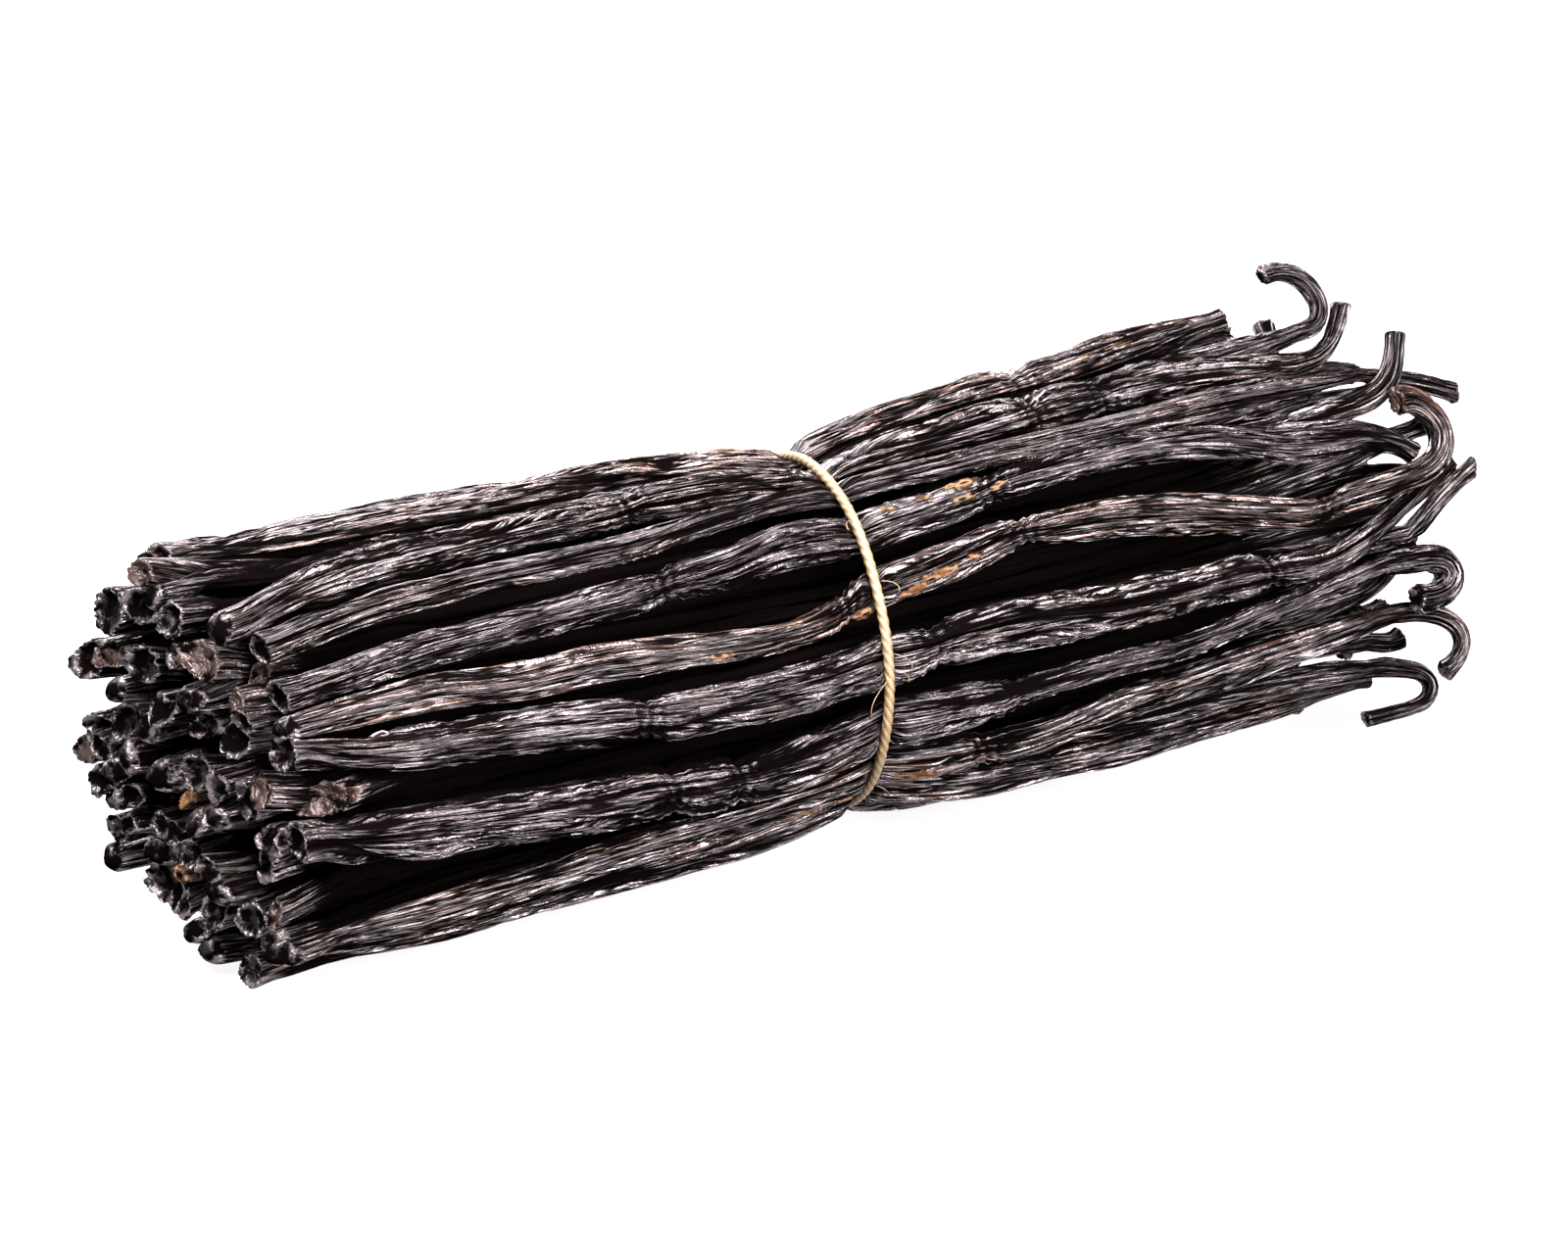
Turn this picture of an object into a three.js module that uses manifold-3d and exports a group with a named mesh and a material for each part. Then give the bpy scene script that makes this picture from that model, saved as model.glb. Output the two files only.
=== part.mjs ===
// A bundle of cured vanilla pods, tied once round its waist with waxed string.
// Millimetres, +Z up. X runs along the bundle, from the blunt blossom ends (-X) to the hooked stem
// ends (+X). The origin lies on the surface under the bundle, below the middle of its box.

import * as THREE from 'three';
import { mergeVertices } from 'three/addons/utils/BufferGeometryUtils.js';
import Module from 'manifold-3d';

const wasm = await Module();
wasm.setup();

// Driving dimensions of the bundle.
const AXIS_HEIGHT = 26.2; // the bundle's middle line above the surface
const END_RADIUS = 26.4; // outline radius that the bundle swells to, away from the string
const WAIST_RADIUS = 22.7; // outline radius beside the string
const SWELL_LENGTH = 11; // how fast the outline swells away from the waist
const FLARE = 0.012; // slow widening towards both ends, mm for each mm
const BOW_STEM = 3.2; // sideways bow of the middle line, 60 mm from the waist
const BOW_BLOSSOM = 0.8;
const BOW_AT = 60;
const BLOSSOM_X = -84; // where the blossom angles and depths of a pod are given
const STEM_X = 70; // where its stem angles and depths are given
const FRAME_SHIFT = new THREE.Vector3(0, -3.8, 0); // brings the middle of the box over the origin

// Driving dimensions of a pod.
const POD_WIDTH = 7.2;
const POD_THICKNESS_SHARE = 0.82; // thickness as a share of the width
const WAIST_SQUEEZE = 0.86; // pods are narrower under the string
const TIP_TAPER = 9; // length of the narrowing behind the blossom tip
const TIP_SHARE = 0.6; // width left at the blossom tip
const NECK_TAPER = 16; // length over which the body narrows to its stalk
const NECK_BEYOND = 4; // how far past the body's end the narrowing goes on
const ROOT_SHARE = 0.8; // an end is thinner where it starts inside the bundle
const STALK_RADIUS = 1.25;
const STALK_END_RADIUS = 1.35; // the cut foot of the stalk is a little thicker
const ROUND_BELOW = 1.9; // a section with a smaller half width is round, not flattened
const TIP_LENGTH = 3; // the blossom tip's own section lies this far behind its end
const BEND_STEP = 75; // degrees of a stalk's bend between two sections
const TIP_SIDES = 5;
const STALK_SIDES = 5;

// Driving dimensions of the ridged middle of the bundle, and of the string.
const VALLEY_DEPTH = 3; // the deepest valley between two pods, below the outline
const MIDDLE_BLOSSOM_X = -78;
const MIDDLE_STEM_X = 61;
const MIDDLE_PLACES = [MIDDLE_BLOSSOM_X, -44, -18, -7, 7, 18, 40, MIDDLE_STEM_X];
const RIDGE_STEPS = 92; // steps round the bundle, about five on each pod
const ROOT_LENGTH = 2; // how far each pod's end reaches into the middle
const STRING_RADIUS = 0.68;
const STRING_GAP = 0.3; // clearance between the pods and the string
const LOOP_RADIUS = 21.9;
const LOOP_STEPS = 32;
const LOOP_SIDES = 6;
const GROOVE_HALF_WIDTH = 1.3; // the string lies in a groove that it presses into the pods
const GROOVE_WALL = 0.4;
const MERGE_DISTANCE = 1e-3;
const KNOT_ANGLE = 10;
const KNOT_RADII = [2.3, 1.7, 1.9]; // along, outwards and across
const TAIL_START = 1; // where a trimmed end leaves the knot, along X
const TAIL_LENGTH = 8;
const TAIL_DROP = 12; // degrees round the bundle that a trimmed end wanders
const TAIL_STEPS = 4;
const ROOM_SIZE = 400; // a block larger than the bundle, whose underside is the surface it lies on

// Outer pods that are laid by hand, from the top round the front to the underside.
// angles: blossom end, waist and stem end, in degrees from +Y towards +Z.
// span: where the blossom tip and the end of the body lie along X.
// depths: how far the pod sinks below the outline at blossom end, waist and stem end.
// stalk: straight neck, bend in degrees, bend radius, roll of the bend and straight tail. A roll of
// 0 bends outwards, 90 towards larger angles (down the front) and -90 back up.
const LAID_PODS = [
  { angles: [65, 45, 46], span: [-82.6, 63], depths: [0.5, 0, 0], stalk: [5, 50, 8, -86, 2] },
  { angles: [66, 66, 61], span: [-81.4, 64], depths: [0.4, 0, -1], stalk: [2, 0, 1, 0, 1] },
  { angles: [83, 78, 86], span: [-84.2, 73], depths: [3.1, 3, 2.5], stalk: [1, 190, 4, -26, 1.5] },
  { angles: [112, 91, 110], span: [-81.2, 66], depths: [0, 0, 0], stalk: [4, 66, 8, -50, 3] },
  { angles: [122, 104, 118], span: [-78.1, 74], depths: [0, 0, 0], stalk: [1, 30, 26, 122, 1] },
  { angles: [123, 112, 126], span: [-77.5, 68], depths: [5.4, 7, 1.5], stalk: [3, 58, 11, -66, 2] },
  { angles: [136, 120, 134], span: [-77.9, 65], depths: [0, 0, 0], stalk: [3, 38, 16, 106, 1] },
  { angles: [140, 140, 138], span: [-82, 77], depths: [3, 7.5, 4], stalk: [2, 0, 1, 0, 1] },
  { angles: [145, 143, 153], span: [-78, 68], depths: [0, 0, 0], stalk: [11, 178, 5, -92, 1] },
  { angles: [155, 166, 169], span: [-79, 61], depths: [0, 0, 0], stalk: [2, 28, 34, -108, 2] },
  { angles: [167, 165, 174], span: [-75, 76], depths: [0, 8, 2.5], stalk: [1, 32, 4, -114, 12] },
  { angles: [179, 188, 174], span: [-79, 70], depths: [0, 0, 0], stalk: [7, 190, 2.6, 66, 3] },
  { angles: [205, 210, 211], span: [-80.4, 67], depths: [1.5, 7, 3], stalk: [8, 0, 1, 0, 3] },
  { angles: [222, 212, 191], span: [-79, 70], depths: [0, 0, 0], stalk: [6, 165, 4.2, 50, 2] },
  { angles: [221, 224, 217], span: [-79.3, 73], depths: [2, 3.5, 0], stalk: [6, 176, 2.4, 23, 8] },
  { angles: [238, 231, 232], span: [-81, 72], depths: [0, 0, 0.3], stalk: [2, 0, 1, 0, 2] },
  { angles: [258, 251, 247], span: [-82.5, 60], depths: [2.5, 0, 0.5], stalk: [6, 0, 1, 0, 2] },
];

// Pods of the far side and underside, evenly spread with small irregularities.
const BACK_PODS = 10;
const BACK_FROM = [254, 251, 245];
const BACK_STEP = [14.9, 14, 14.6];
const BACK_JITTER = 3;
const BACK_STEM_X = 61;
const END_SCATTER = 5; // how unevenly the pods' ends lie along X
const TIP_SLANT = 0.17; // the blossom tips of the far side reach farther out, mm for each mm of Y

// Inner rings, of which only the ends stand out of the core: ring radius at the ends and pod count.
const INNER_RINGS = [
  { radius: 17.2, count: 15 },
  { radius: 11, count: 10 },
  { radius: 5, count: 5 },
];
const INNER_STEM_X = 66;
const INNER_JITTER = 8; // how many degrees round its ring an inner pod may stray
// The loose stalks of the far side and of the inside: neck, usual bend, spread of bends, radius and tail.
const LOOSE_STALK = { neck: 2, bend: 80, spread: 140, radius: 5, tail: 2 };
const BACK_BENDS_TO = -70; // the far side's stalks bend to about this angle, which is down and away
const BACK_BENDS_SPREAD = 50;
// Start values of the scatter, one for each thing that is scattered.
const SEEDS = { tip: 50, stem: 70, bend: 90, roll: 110, inner: 200 };
const SEEDS_FOR_RING = 40;

/** A repeatable pseudo-random number between -0.5 and 0.5 for a whole number. */
function scatter(seed) {
  const wave = Math.sin(seed * 12.9898 + 4.1) * 43758.5453;
  return wave - Math.floor(wave) - 0.5;
}

/** Outline radius at x: a waist that swells on both sides. */
function outlineRadius(x) {
  const away = Math.abs(x);
  const swell = (END_RADIUS - WAIST_RADIUS) * (1 - Math.exp(-away / SWELL_LENGTH));
  return WAIST_RADIUS + swell + FLARE * away;
}

/** Sideways place of the bundle's middle line at x, a parabola on each side of the waist. */
function bow(x) {
  return (x > 0 ? BOW_STEM : BOW_BLOSSOM) * (x / BOW_AT) ** 2;
}

/** Value at x of a quantity given at the blossom end, waist and stem end, level at the waist. */
function along([blossom, waist, stem], x) {
  return x < 0
    ? waist + (blossom - waist) * (x / BLOSSOM_X) ** 1.5
    : waist + (stem - waist) * (x / STEM_X) ** 1.5;
}

/** The point at a distance from the middle line, in the direction of an angle, at x. */
function around(x, radius, degrees) {
  const angle = THREE.MathUtils.degToRad(degrees);
  return new THREE.Vector3(x, bow(x) + radius * Math.cos(angle), AXIS_HEIGHT + radius * Math.sin(angle));
}

/** Half width of a pod's body at x: a blunt blossom tip and a squeezed waist. */
function bodyHalfWidth(x, from) {
  const tip = Math.min(1, TIP_SHARE + (1 - TIP_SHARE) * Math.sqrt(Math.max(0, x - from) / TIP_TAPER));
  const squeeze = 1 - (1 - WAIST_SQUEEZE) * Math.exp(-((x / SWELL_LENGTH) ** 2));
  return (POD_WIDTH / 2) * tip * squeeze;
}

/** Half width of a pod at x, with the taper into its stalk. */
function halfWidth(x, from, to) {
  const neck = THREE.MathUtils.smoothstep(to - x, -NECK_BEYOND, NECK_TAPER);
  return Math.max(STALK_RADIUS, bodyHalfWidth(x, from) * neck);
}

/** Centres and half widths of a stalk: a straight neck, an arc and a straight tail. */
function stalkSections(start, forward, outwards, [neck, bend, radius, roll, tail]) {
  const side = new THREE.Vector3().crossVectors(outwards, forward);
  const rollAngle = THREE.MathUtils.degToRad(roll);
  const towards = outwards.clone().multiplyScalar(Math.cos(rollAngle));
  towards.addScaledVector(side, -Math.sin(rollAngle));
  const arcStart = start.clone().addScaledVector(forward, neck);
  const steps = Math.ceil(bend / BEND_STEP);
  const sections = [];
  const angleAt = (step) => THREE.MathUtils.degToRad((bend * step) / Math.max(steps, 1));
  for (let step = 0; step <= steps; step += 1) {
    const angle = angleAt(step);
    const centre = arcStart.clone().addScaledVector(forward, radius * Math.sin(angle));
    centre.addScaledVector(towards, radius * (1 - Math.cos(angle)));
    sections.push({ centre, half: STALK_RADIUS });
  }
  const last = sections[sections.length - 1].centre;
  const tailWay = forward.clone().multiplyScalar(Math.cos(angleAt(steps)));
  tailWay.addScaledVector(towards, Math.sin(angleAt(steps)));
  sections.push({ centre: last.clone().addScaledVector(tailWay, tail), half: STALK_END_RADIUS });
  return sections;
}

/**
 * A closed tube through a list of sections. Each section is an ellipse across the path, its long side
 * across the outward direction, which is carried along the path without twist.
 */
function tubeGeometry(sections, sides, outwards, thicknessShare) {
  const positions = [];
  const indices = [];
  const up = outwards.clone();
  sections.forEach(({ centre, half }, row) => {
    const before = sections[Math.max(row - 1, 0)].centre;
    const after = sections[Math.min(row + 1, sections.length - 1)].centre;
    const way = after.clone().sub(before).normalize();
    up.addScaledVector(way, -up.dot(way)).normalize();
    const side = new THREE.Vector3().crossVectors(way, up);
    const thick = half > ROUND_BELOW ? half * thicknessShare : half;
    for (let corner = 0; corner < sides; corner += 1) {
      const angle = ((corner + 0.5) / sides) * 2 * Math.PI;
      const point = centre.clone().addScaledVector(side, half * Math.cos(angle));
      point.addScaledVector(up, thick * Math.sin(angle));
      positions.push(point.x, point.y, point.z);
    }
  });
  for (let row = 0; row + 1 < sections.length; row += 1) {
    for (let corner = 0; corner < sides; corner += 1) {
      const a = row * sides + corner;
      const b = row * sides + ((corner + 1) % sides);
      indices.push(b, a, b + sides, b + sides, a, a + sides);
    }
  }
  const lastRow = (sections.length - 1) * sides;
  for (let corner = 1; corner + 1 < sides; corner += 1) {
    indices.push(0, corner, corner + 1);
    indices.push(lastRow, lastRow + corner + 1, lastRow + corner);
  }
  const geometry = new THREE.BufferGeometry();
  geometry.setAttribute('position', new THREE.Float32BufferAttribute(positions, 3));
  geometry.setIndex(indices);
  return geometry;
}

/** Distance of a pod's centre from the middle line at x. */
function centreRadius(pod, x) {
  return outlineRadius(x) - along(pod.depths, x) - bodyHalfWidth(x, pod.span[0]) * POD_THICKNESS_SHARE;
}

/** The sections of a pod at some places along X, on its own winding path. */
function podSections(pod, places) {
  return places.map((x) => {
    return { centre: around(x, centreRadius(pod, x), along(pod.angles, x)), half: halfWidth(x, ...pod.span) };
  });
}

/** The outward direction of an angle round the bundle. */
function outwardsOf(degrees) {
  return around(0, 1, degrees).sub(around(0, 0, 0));
}

/** The blossom end of a pod, from inside the ridged middle to its blunt tip. */
function blossomEnd(pod) {
  const [from] = pod.span;
  const sections = podSections(pod, [from, from + TIP_LENGTH, MIDDLE_BLOSSOM_X + ROOT_LENGTH]);
  sections[2].half *= ROOT_SHARE;
  return tubeGeometry(sections, TIP_SIDES, outwardsOf(pod.angles[0]), POD_THICKNESS_SHARE);
}

/** The stem end of a pod, from inside the ridged middle to the foot of its stalk. */
function stemEnd(pod) {
  const [, to] = pod.span;
  const sections = podSections(pod, [MIDDLE_STEM_X - ROOT_LENGTH, to]);
  sections[0].half *= ROOT_SHARE;
  const [before, last] = sections;
  const forward = last.centre.clone().sub(before.centre).normalize();
  const outwards = outwardsOf(pod.angles[2]);
  outwards.addScaledVector(forward, -outwards.dot(forward)).normalize();
  const stalk = stalkSections(last.centre, forward, outwards, pod.stalk);
  return tubeGeometry([...sections, ...stalk], STALK_SIDES, outwards, POD_THICKNESS_SHARE);
}

/** Where a blossom tip lies along X: a slanting plane with a little scatter. */
function tipPlace(degrees, radius, seed) {
  const across = radius * Math.cos(THREE.MathUtils.degToRad(degrees));
  return BLOSSOM_X - TIP_SLANT * across + END_SCATTER * scatter(seed);
}

/** A stalk that bends by some angle to a given side. */
function looseStalk(seed, roll) {
  const { neck, bend, spread, radius, tail } = LOOSE_STALK;
  return [neck, bend + spread * scatter(seed + SEEDS.bend), radius, roll, tail];
}

/** The pods of the far side: angles in even steps with a little scatter. */
function backPods() {
  return Array.from({ length: BACK_PODS }, (_, index) => {
    const number = index + 1;
    const angles = BACK_FROM.map((start, end) => {
      return start + BACK_STEP[end] * number + BACK_JITTER * scatter(number * 3 + end);
    });
    const span = [
      tipPlace(angles[0], END_RADIUS, number + SEEDS.tip),
      BACK_STEM_X + END_SCATTER * scatter(number + SEEDS.stem),
    ];
    const bendsTo = BACK_BENDS_TO + BACK_BENDS_SPREAD * scatter(number + SEEDS.roll);
    return { angles, span, depths: [0, 0, 0], stalk: looseStalk(number, bendsTo - angles[2]) };
  });
}

/** The inner pods, ring by ring, each sunk to its ring. */
function innerPods() {
  return INNER_RINGS.flatMap(({ radius, count }, ring) => Array.from({ length: count }, (_, index) => {
    const seed = SEEDS.inner + ring * SEEDS_FOR_RING + index;
    const angle = (360 / count) * (index + ring / 2) + INNER_JITTER * scatter(seed);
    const depth = END_RADIUS - radius - (POD_WIDTH / 2) * POD_THICKNESS_SHARE;
    return {
      angles: [angle, angle, angle],
      span: [
        tipPlace(angle, radius, seed + SEEDS.tip),
        INNER_STEM_X + END_SCATTER * scatter(seed + SEEDS.stem),
      ],
      depths: [depth, depth, depth],
      stalk: looseStalk(seed, 360 * scatter(seed + SEEDS.roll)),
    };
  }));
}

/**
 * The outside of the bundle at an angle and a place along X: the farthest of the pods that a ray from
 * the middle line meets, taking each pod as round, or the bottom of the valley between two pods.
 */
function ridgeRadius(pods, degrees, x) {
  const valley = outlineRadius(x) - VALLEY_DEPTH;
  return pods.reduce((farthest, pod) => {
    const turn = THREE.MathUtils.degToRad(degrees - along(pod.angles, x));
    const half = halfWidth(x, ...pod.span) * POD_THICKNESS_SHARE;
    const distance = centreRadius(pod, x);
    const across = distance * Math.sin(turn);
    if (Math.cos(turn) < 0 || Math.abs(across) > half) {
      return farthest;
    }
    return Math.max(farthest, distance * Math.cos(turn) + Math.sqrt(half ** 2 - across ** 2));
  }, valley);
}

/** The ridged middle of the bundle: rings of ridge radii, with a groove for the string at the waist. */
function middleGeometry(pods) {
  const wall = GROOVE_HALF_WIDTH + GROOVE_WALL;
  const groove = [-wall, -GROOVE_HALF_WIDTH, GROOVE_HALF_WIDTH, wall];
  const places = [...MIDDLE_PLACES, ...groove].sort((a, b) => a - b);
  const bottom = LOOP_RADIUS - STRING_RADIUS - STRING_GAP;
  const positions = [];
  const indices = [];
  places.forEach((x, row) => {
    for (let step = 0; step < RIDGE_STEPS; step += 1) {
      const degrees = (360 / RIDGE_STEPS) * step;
      const radius = Math.abs(x) > GROOVE_HALF_WIDTH ? ridgeRadius(pods, degrees, x) : bottom;
      positions.push(...around(x, radius, degrees).toArray());
      const next = (step + 1) % RIDGE_STEPS;
      const here = row * RIDGE_STEPS;
      if (row > 0) {
        indices.push(here + next, here + step, here - RIDGE_STEPS + next);
        indices.push(here - RIDGE_STEPS + next, here + step, here - RIDGE_STEPS + step);
      }
    }
  });
  const lastRow = (places.length - 1) * RIDGE_STEPS;
  const first = positions.length / 3;
  positions.push(...around(places[0], 0, 0).toArray(), ...around(places[places.length - 1], 0, 0).toArray());
  for (let step = 0; step < RIDGE_STEPS; step += 1) {
    const next = (step + 1) % RIDGE_STEPS;
    indices.push(first, next, step);
    indices.push(first + 1, lastRow + step, lastRow + next);
  }
  const geometry = new THREE.BufferGeometry();
  geometry.setAttribute('position', new THREE.Float32BufferAttribute(positions, 3));
  geometry.setIndex(indices);
  return geometry;
}

/** A closed ring of string round the waist, a torus of the string's section. */
function loopGeometry() {
  const geometry = new THREE.TorusGeometry(LOOP_RADIUS, STRING_RADIUS, LOOP_SIDES, LOOP_STEPS);
  geometry.rotateY(Math.PI / 2);
  geometry.translate(0, 0, AXIS_HEIGHT);
  return geometry;
}

/** The knot: an egg of wound string that lies on the loop. */
function knotGeometry(growth) {
  const geometry = new THREE.IcosahedronGeometry(1, 1);
  const [length, height, width] = KNOT_RADII.map((radius) => radius + growth);
  geometry.scale(length, height, width);
  geometry.rotateX(THREE.MathUtils.degToRad(KNOT_ANGLE));
  const place = around(0, LOOP_RADIUS + KNOT_RADII[1] / 2, KNOT_ANGLE);
  geometry.translate(place.x, place.y, place.z);
  return geometry;
}

/** One trimmed end of the string, which lies along the pods from the knot. */
function tailGeometry(direction, growth) {
  const sections = Array.from({ length: TAIL_STEPS + 1 }, (_, step) => {
    const x = direction * (TAIL_START + ((TAIL_LENGTH - TAIL_START) * step) / TAIL_STEPS);
    const degrees = KNOT_ANGLE + (direction * TAIL_DROP * step) / TAIL_STEPS;
    const radius = outlineRadius(x) + STRING_RADIUS + STRING_GAP;
    return { centre: around(x, radius, degrees), half: STRING_RADIUS + growth };
  });
  return tubeGeometry(sections, TIP_SIDES, outwardsOf(KNOT_ANGLE), 1);
}

/** A closed geometry as a solid that can be joined and cut. */
function solid(geometry) {
  const bare = geometry.clone();
  bare.deleteAttribute('normal');
  bare.deleteAttribute('uv');
  const merged = mergeVertices(bare, MERGE_DISTANCE);
  const mesh = new wasm.Mesh({
    numProp: 3,
    vertProperties: new Float32Array(merged.getAttribute('position').array),
    triVerts: new Uint32Array(merged.getIndex().array),
  });
  return new wasm.Manifold(mesh);
}

/** The joined solid of many geometries. */
function joined(geometries) {
  return geometries.map(solid).reduce((whole, piece) => whole.add(piece));
}

/** The surface of a solid as a geometry. */
function geometryOf(whole) {
  const { vertProperties, triVerts } = whole.getMesh();
  const geometry = new THREE.BufferGeometry();
  geometry.setAttribute('position', new THREE.BufferAttribute(new Float32Array(vertProperties), 3));
  geometry.setIndex(new THREE.BufferAttribute(new Uint32Array(triVerts), 1));
  return geometry;
}

/** The largest piece of a solid, which leaves out crumbs and pockets that are sealed or nearly so. */
function largestPiece(whole) {
  const pieces = solid(geometryOf(whole)).decompose();
  return pieces.reduce((best, piece) => (piece.volume() > best.volume() ? piece : best));
}

/** A solid as a named mesh with a material of its own. */
function meshOf(name, whole, material) {
  const mesh = new THREE.Mesh(geometryOf(whole), new THREE.MeshStandardMaterial(material));
  mesh.name = name;
  return mesh;
}

/** The knot with its two trimmed ends, grown by a clearance or by nothing. */
function knot(growth) {
  return joined([knotGeometry(growth), tailGeometry(1, growth), tailGeometry(-1, growth)]);
}

/** The string round the waist with its knot. */
function waistTie() {
  return largestPiece(solid(loopGeometry()).add(knot(0)));
}

/** All pods as one solid with its uneven outline, flat where it lies and cut free round the knot. */
function podBundle() {
  const outer = [...LAID_PODS, ...backPods()];
  const all = [...outer, ...innerPods()];
  const whole = joined([middleGeometry(outer), ...all.map(blossomEnd), ...all.map(stemEnd)]);
  const room = new THREE.BoxGeometry(ROOM_SIZE, ROOM_SIZE, ROOM_SIZE);
  room.translate(0, 0, ROOM_SIZE / 2);
  return largestPiece(whole.intersect(solid(room)).subtract(knot(STRING_GAP)));
}

const group = new THREE.Group();
group.add(meshOf('pod_bundle', podBundle(), { color: 0x2a2224, roughness: 0.42, metalness: 0 }));
group.add(meshOf('waist_tie', waistTie(), { color: 0xe6d6a8, roughness: 0.7, metalness: 0 }));
group.position.copy(FRAME_SHIFT);
group.updateMatrixWorld(true);

export default group;
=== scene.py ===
"""A bundle of cured vanilla pods that lies on its side, tied once round its waist with waxed string.

X runs along the bundle, from the blunt blossom tips (-X) to the hooked stalks (+X), and +Z is up. Sizes
are in millimetres, and MM brings them to metres where a mesh is made. Angles round the bundle go from +Y
towards +Z.
"""

from dataclasses import dataclass

import bpy
import numpy as np
from mathutils import Matrix


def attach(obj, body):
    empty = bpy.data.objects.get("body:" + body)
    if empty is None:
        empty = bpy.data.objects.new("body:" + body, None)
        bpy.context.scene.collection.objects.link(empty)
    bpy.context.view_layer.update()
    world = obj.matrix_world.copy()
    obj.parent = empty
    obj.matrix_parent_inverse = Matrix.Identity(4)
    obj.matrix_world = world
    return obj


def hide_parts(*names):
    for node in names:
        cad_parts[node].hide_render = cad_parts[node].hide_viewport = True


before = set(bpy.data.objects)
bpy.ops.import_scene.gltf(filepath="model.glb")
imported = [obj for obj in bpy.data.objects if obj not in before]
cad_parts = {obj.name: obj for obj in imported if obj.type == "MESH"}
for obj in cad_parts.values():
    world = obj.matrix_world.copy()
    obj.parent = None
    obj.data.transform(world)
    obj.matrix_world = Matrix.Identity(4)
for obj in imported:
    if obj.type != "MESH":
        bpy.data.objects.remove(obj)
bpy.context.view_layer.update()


# ----------------------------------------------------------------------------------------------------
# The view. The camera stands to the left of square on and looks down on the bundle, with the blossom
# tips nearer. The middle of the waist lies a little right of the middle of the picture.
# ----------------------------------------------------------------------------------------------------
MM = 0.001
AXIS_HEIGHT = 26.2
FRAME_SHIFT = np.array([0, -3.8, 0])
AZIMUTH = np.radians(-27)
ELEVATION = np.radians(27)
CAMERA_DISTANCE = 700
LENS = 129
FARTHEST_SEEN = 20
WAIST_RIGHT_OF_MIDDLE = 3.7
WAIST_BELOW_MIDDLE = 0.4


def added(name, data):
    """A new object of the scene with its data."""
    made = bpy.data.objects.new(name, data)
    bpy.context.scene.collection.objects.link(made)
    return made


def facing(right, up, back, place):
    """The matrix that turns an object's X, Y and Z to three directions and puts it at a place in metres."""
    turning = Matrix(np.column_stack([right, up, back]).tolist()).to_4x4()
    turning.translation = place
    return turning


back_way = np.array([
    np.sin(AZIMUTH) * np.cos(ELEVATION),
    -np.cos(AZIMUTH) * np.cos(ELEVATION),
    np.sin(ELEVATION),
])
right_way = np.array([np.cos(AZIMUTH), np.sin(AZIMUTH), 0])
up_way = np.cross(back_way, right_way)
waist = FRAME_SHIFT + [0, 0, AXIS_HEIGHT]
aim = waist - WAIST_RIGHT_OF_MIDDLE * right_way + WAIST_BELOW_MIDDLE * up_way

camera = added("camera", bpy.data.cameras.new("camera"))
camera.matrix_world = facing(right_way, up_way, back_way, (aim + CAMERA_DISTANCE * back_way) * MM)
camera.data.lens = LENS
camera.data.clip_end = FARTHEST_SEEN
bpy.context.scene.camera = camera


# ----------------------------------------------------------------------------------------------------
# The studio. A pale floor that glows a little, four soft lights and a dim even surround. The light
# behind the bundle lays a sheen on each ridge, and the one at the left opens up the blossom end.
# ----------------------------------------------------------------------------------------------------
FLOOR_HALF = 3.0
FLOOR_GREY = (0.06, 0.06, 0.06, 1)
FLOOR_GLOW = 0.82
FLOOR_GLOW_TINT = (1, 0.98, 0.98, 1)
SURROUND_STRENGTH = 0.04
LIGHT_TINT = (1, 0.94, 0.95)
# Each light's place in metres, the side of its square in metres and its power in watts.
LIGHTS = {
    "back_light": ((0.1, 1.0, 0.6), 0.8, 62),
    "top_light": ((-0.2, -0.3, 1.1), 0.9, 245),
    "front_light": ((0.35, -1.0, 0.45), 0.6, 108),
    "left_light": ((-0.95, -0.3, 0.5), 0.4, 10),
}


class Signal:
    """A number or colour on its way through a material. Arithmetic on it adds the Math nodes that do it."""

    def __init__(self, finish, socket):
        self.finish = finish
        self.socket = socket

    def __add__(self, other):
        return self.finish.math("ADD", self, other)

    def __sub__(self, other):
        return self.finish.math("SUBTRACT", self, other)

    def __rsub__(self, other):
        return self.finish.math("SUBTRACT", other, self)

    def __mul__(self, other):
        return self.finish.math("MULTIPLY", self, other)

    def __abs__(self):
        return self.finish.math("ABSOLUTE", self)

    __radd__ = __add__
    __rmul__ = __mul__

    def ramp(self, low, high):
        """0 below low, 1 above high, and smooth between. With low above high it falls instead."""
        values = {"Value": self, "From Min": low, "From Max": high}
        return self.finish.node("ShaderNodeMapRange", {"interpolation_type": "SMOOTHSTEP"}, values)

    def from_to(self, low, high):
        """low where this number is 0, high where it is 1, and straight between."""
        return low + (high - low) * self

    def towards(self, other, share):
        """This number, moved towards another one by a share from 0 to 1."""
        return self + (other - self) * share


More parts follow.
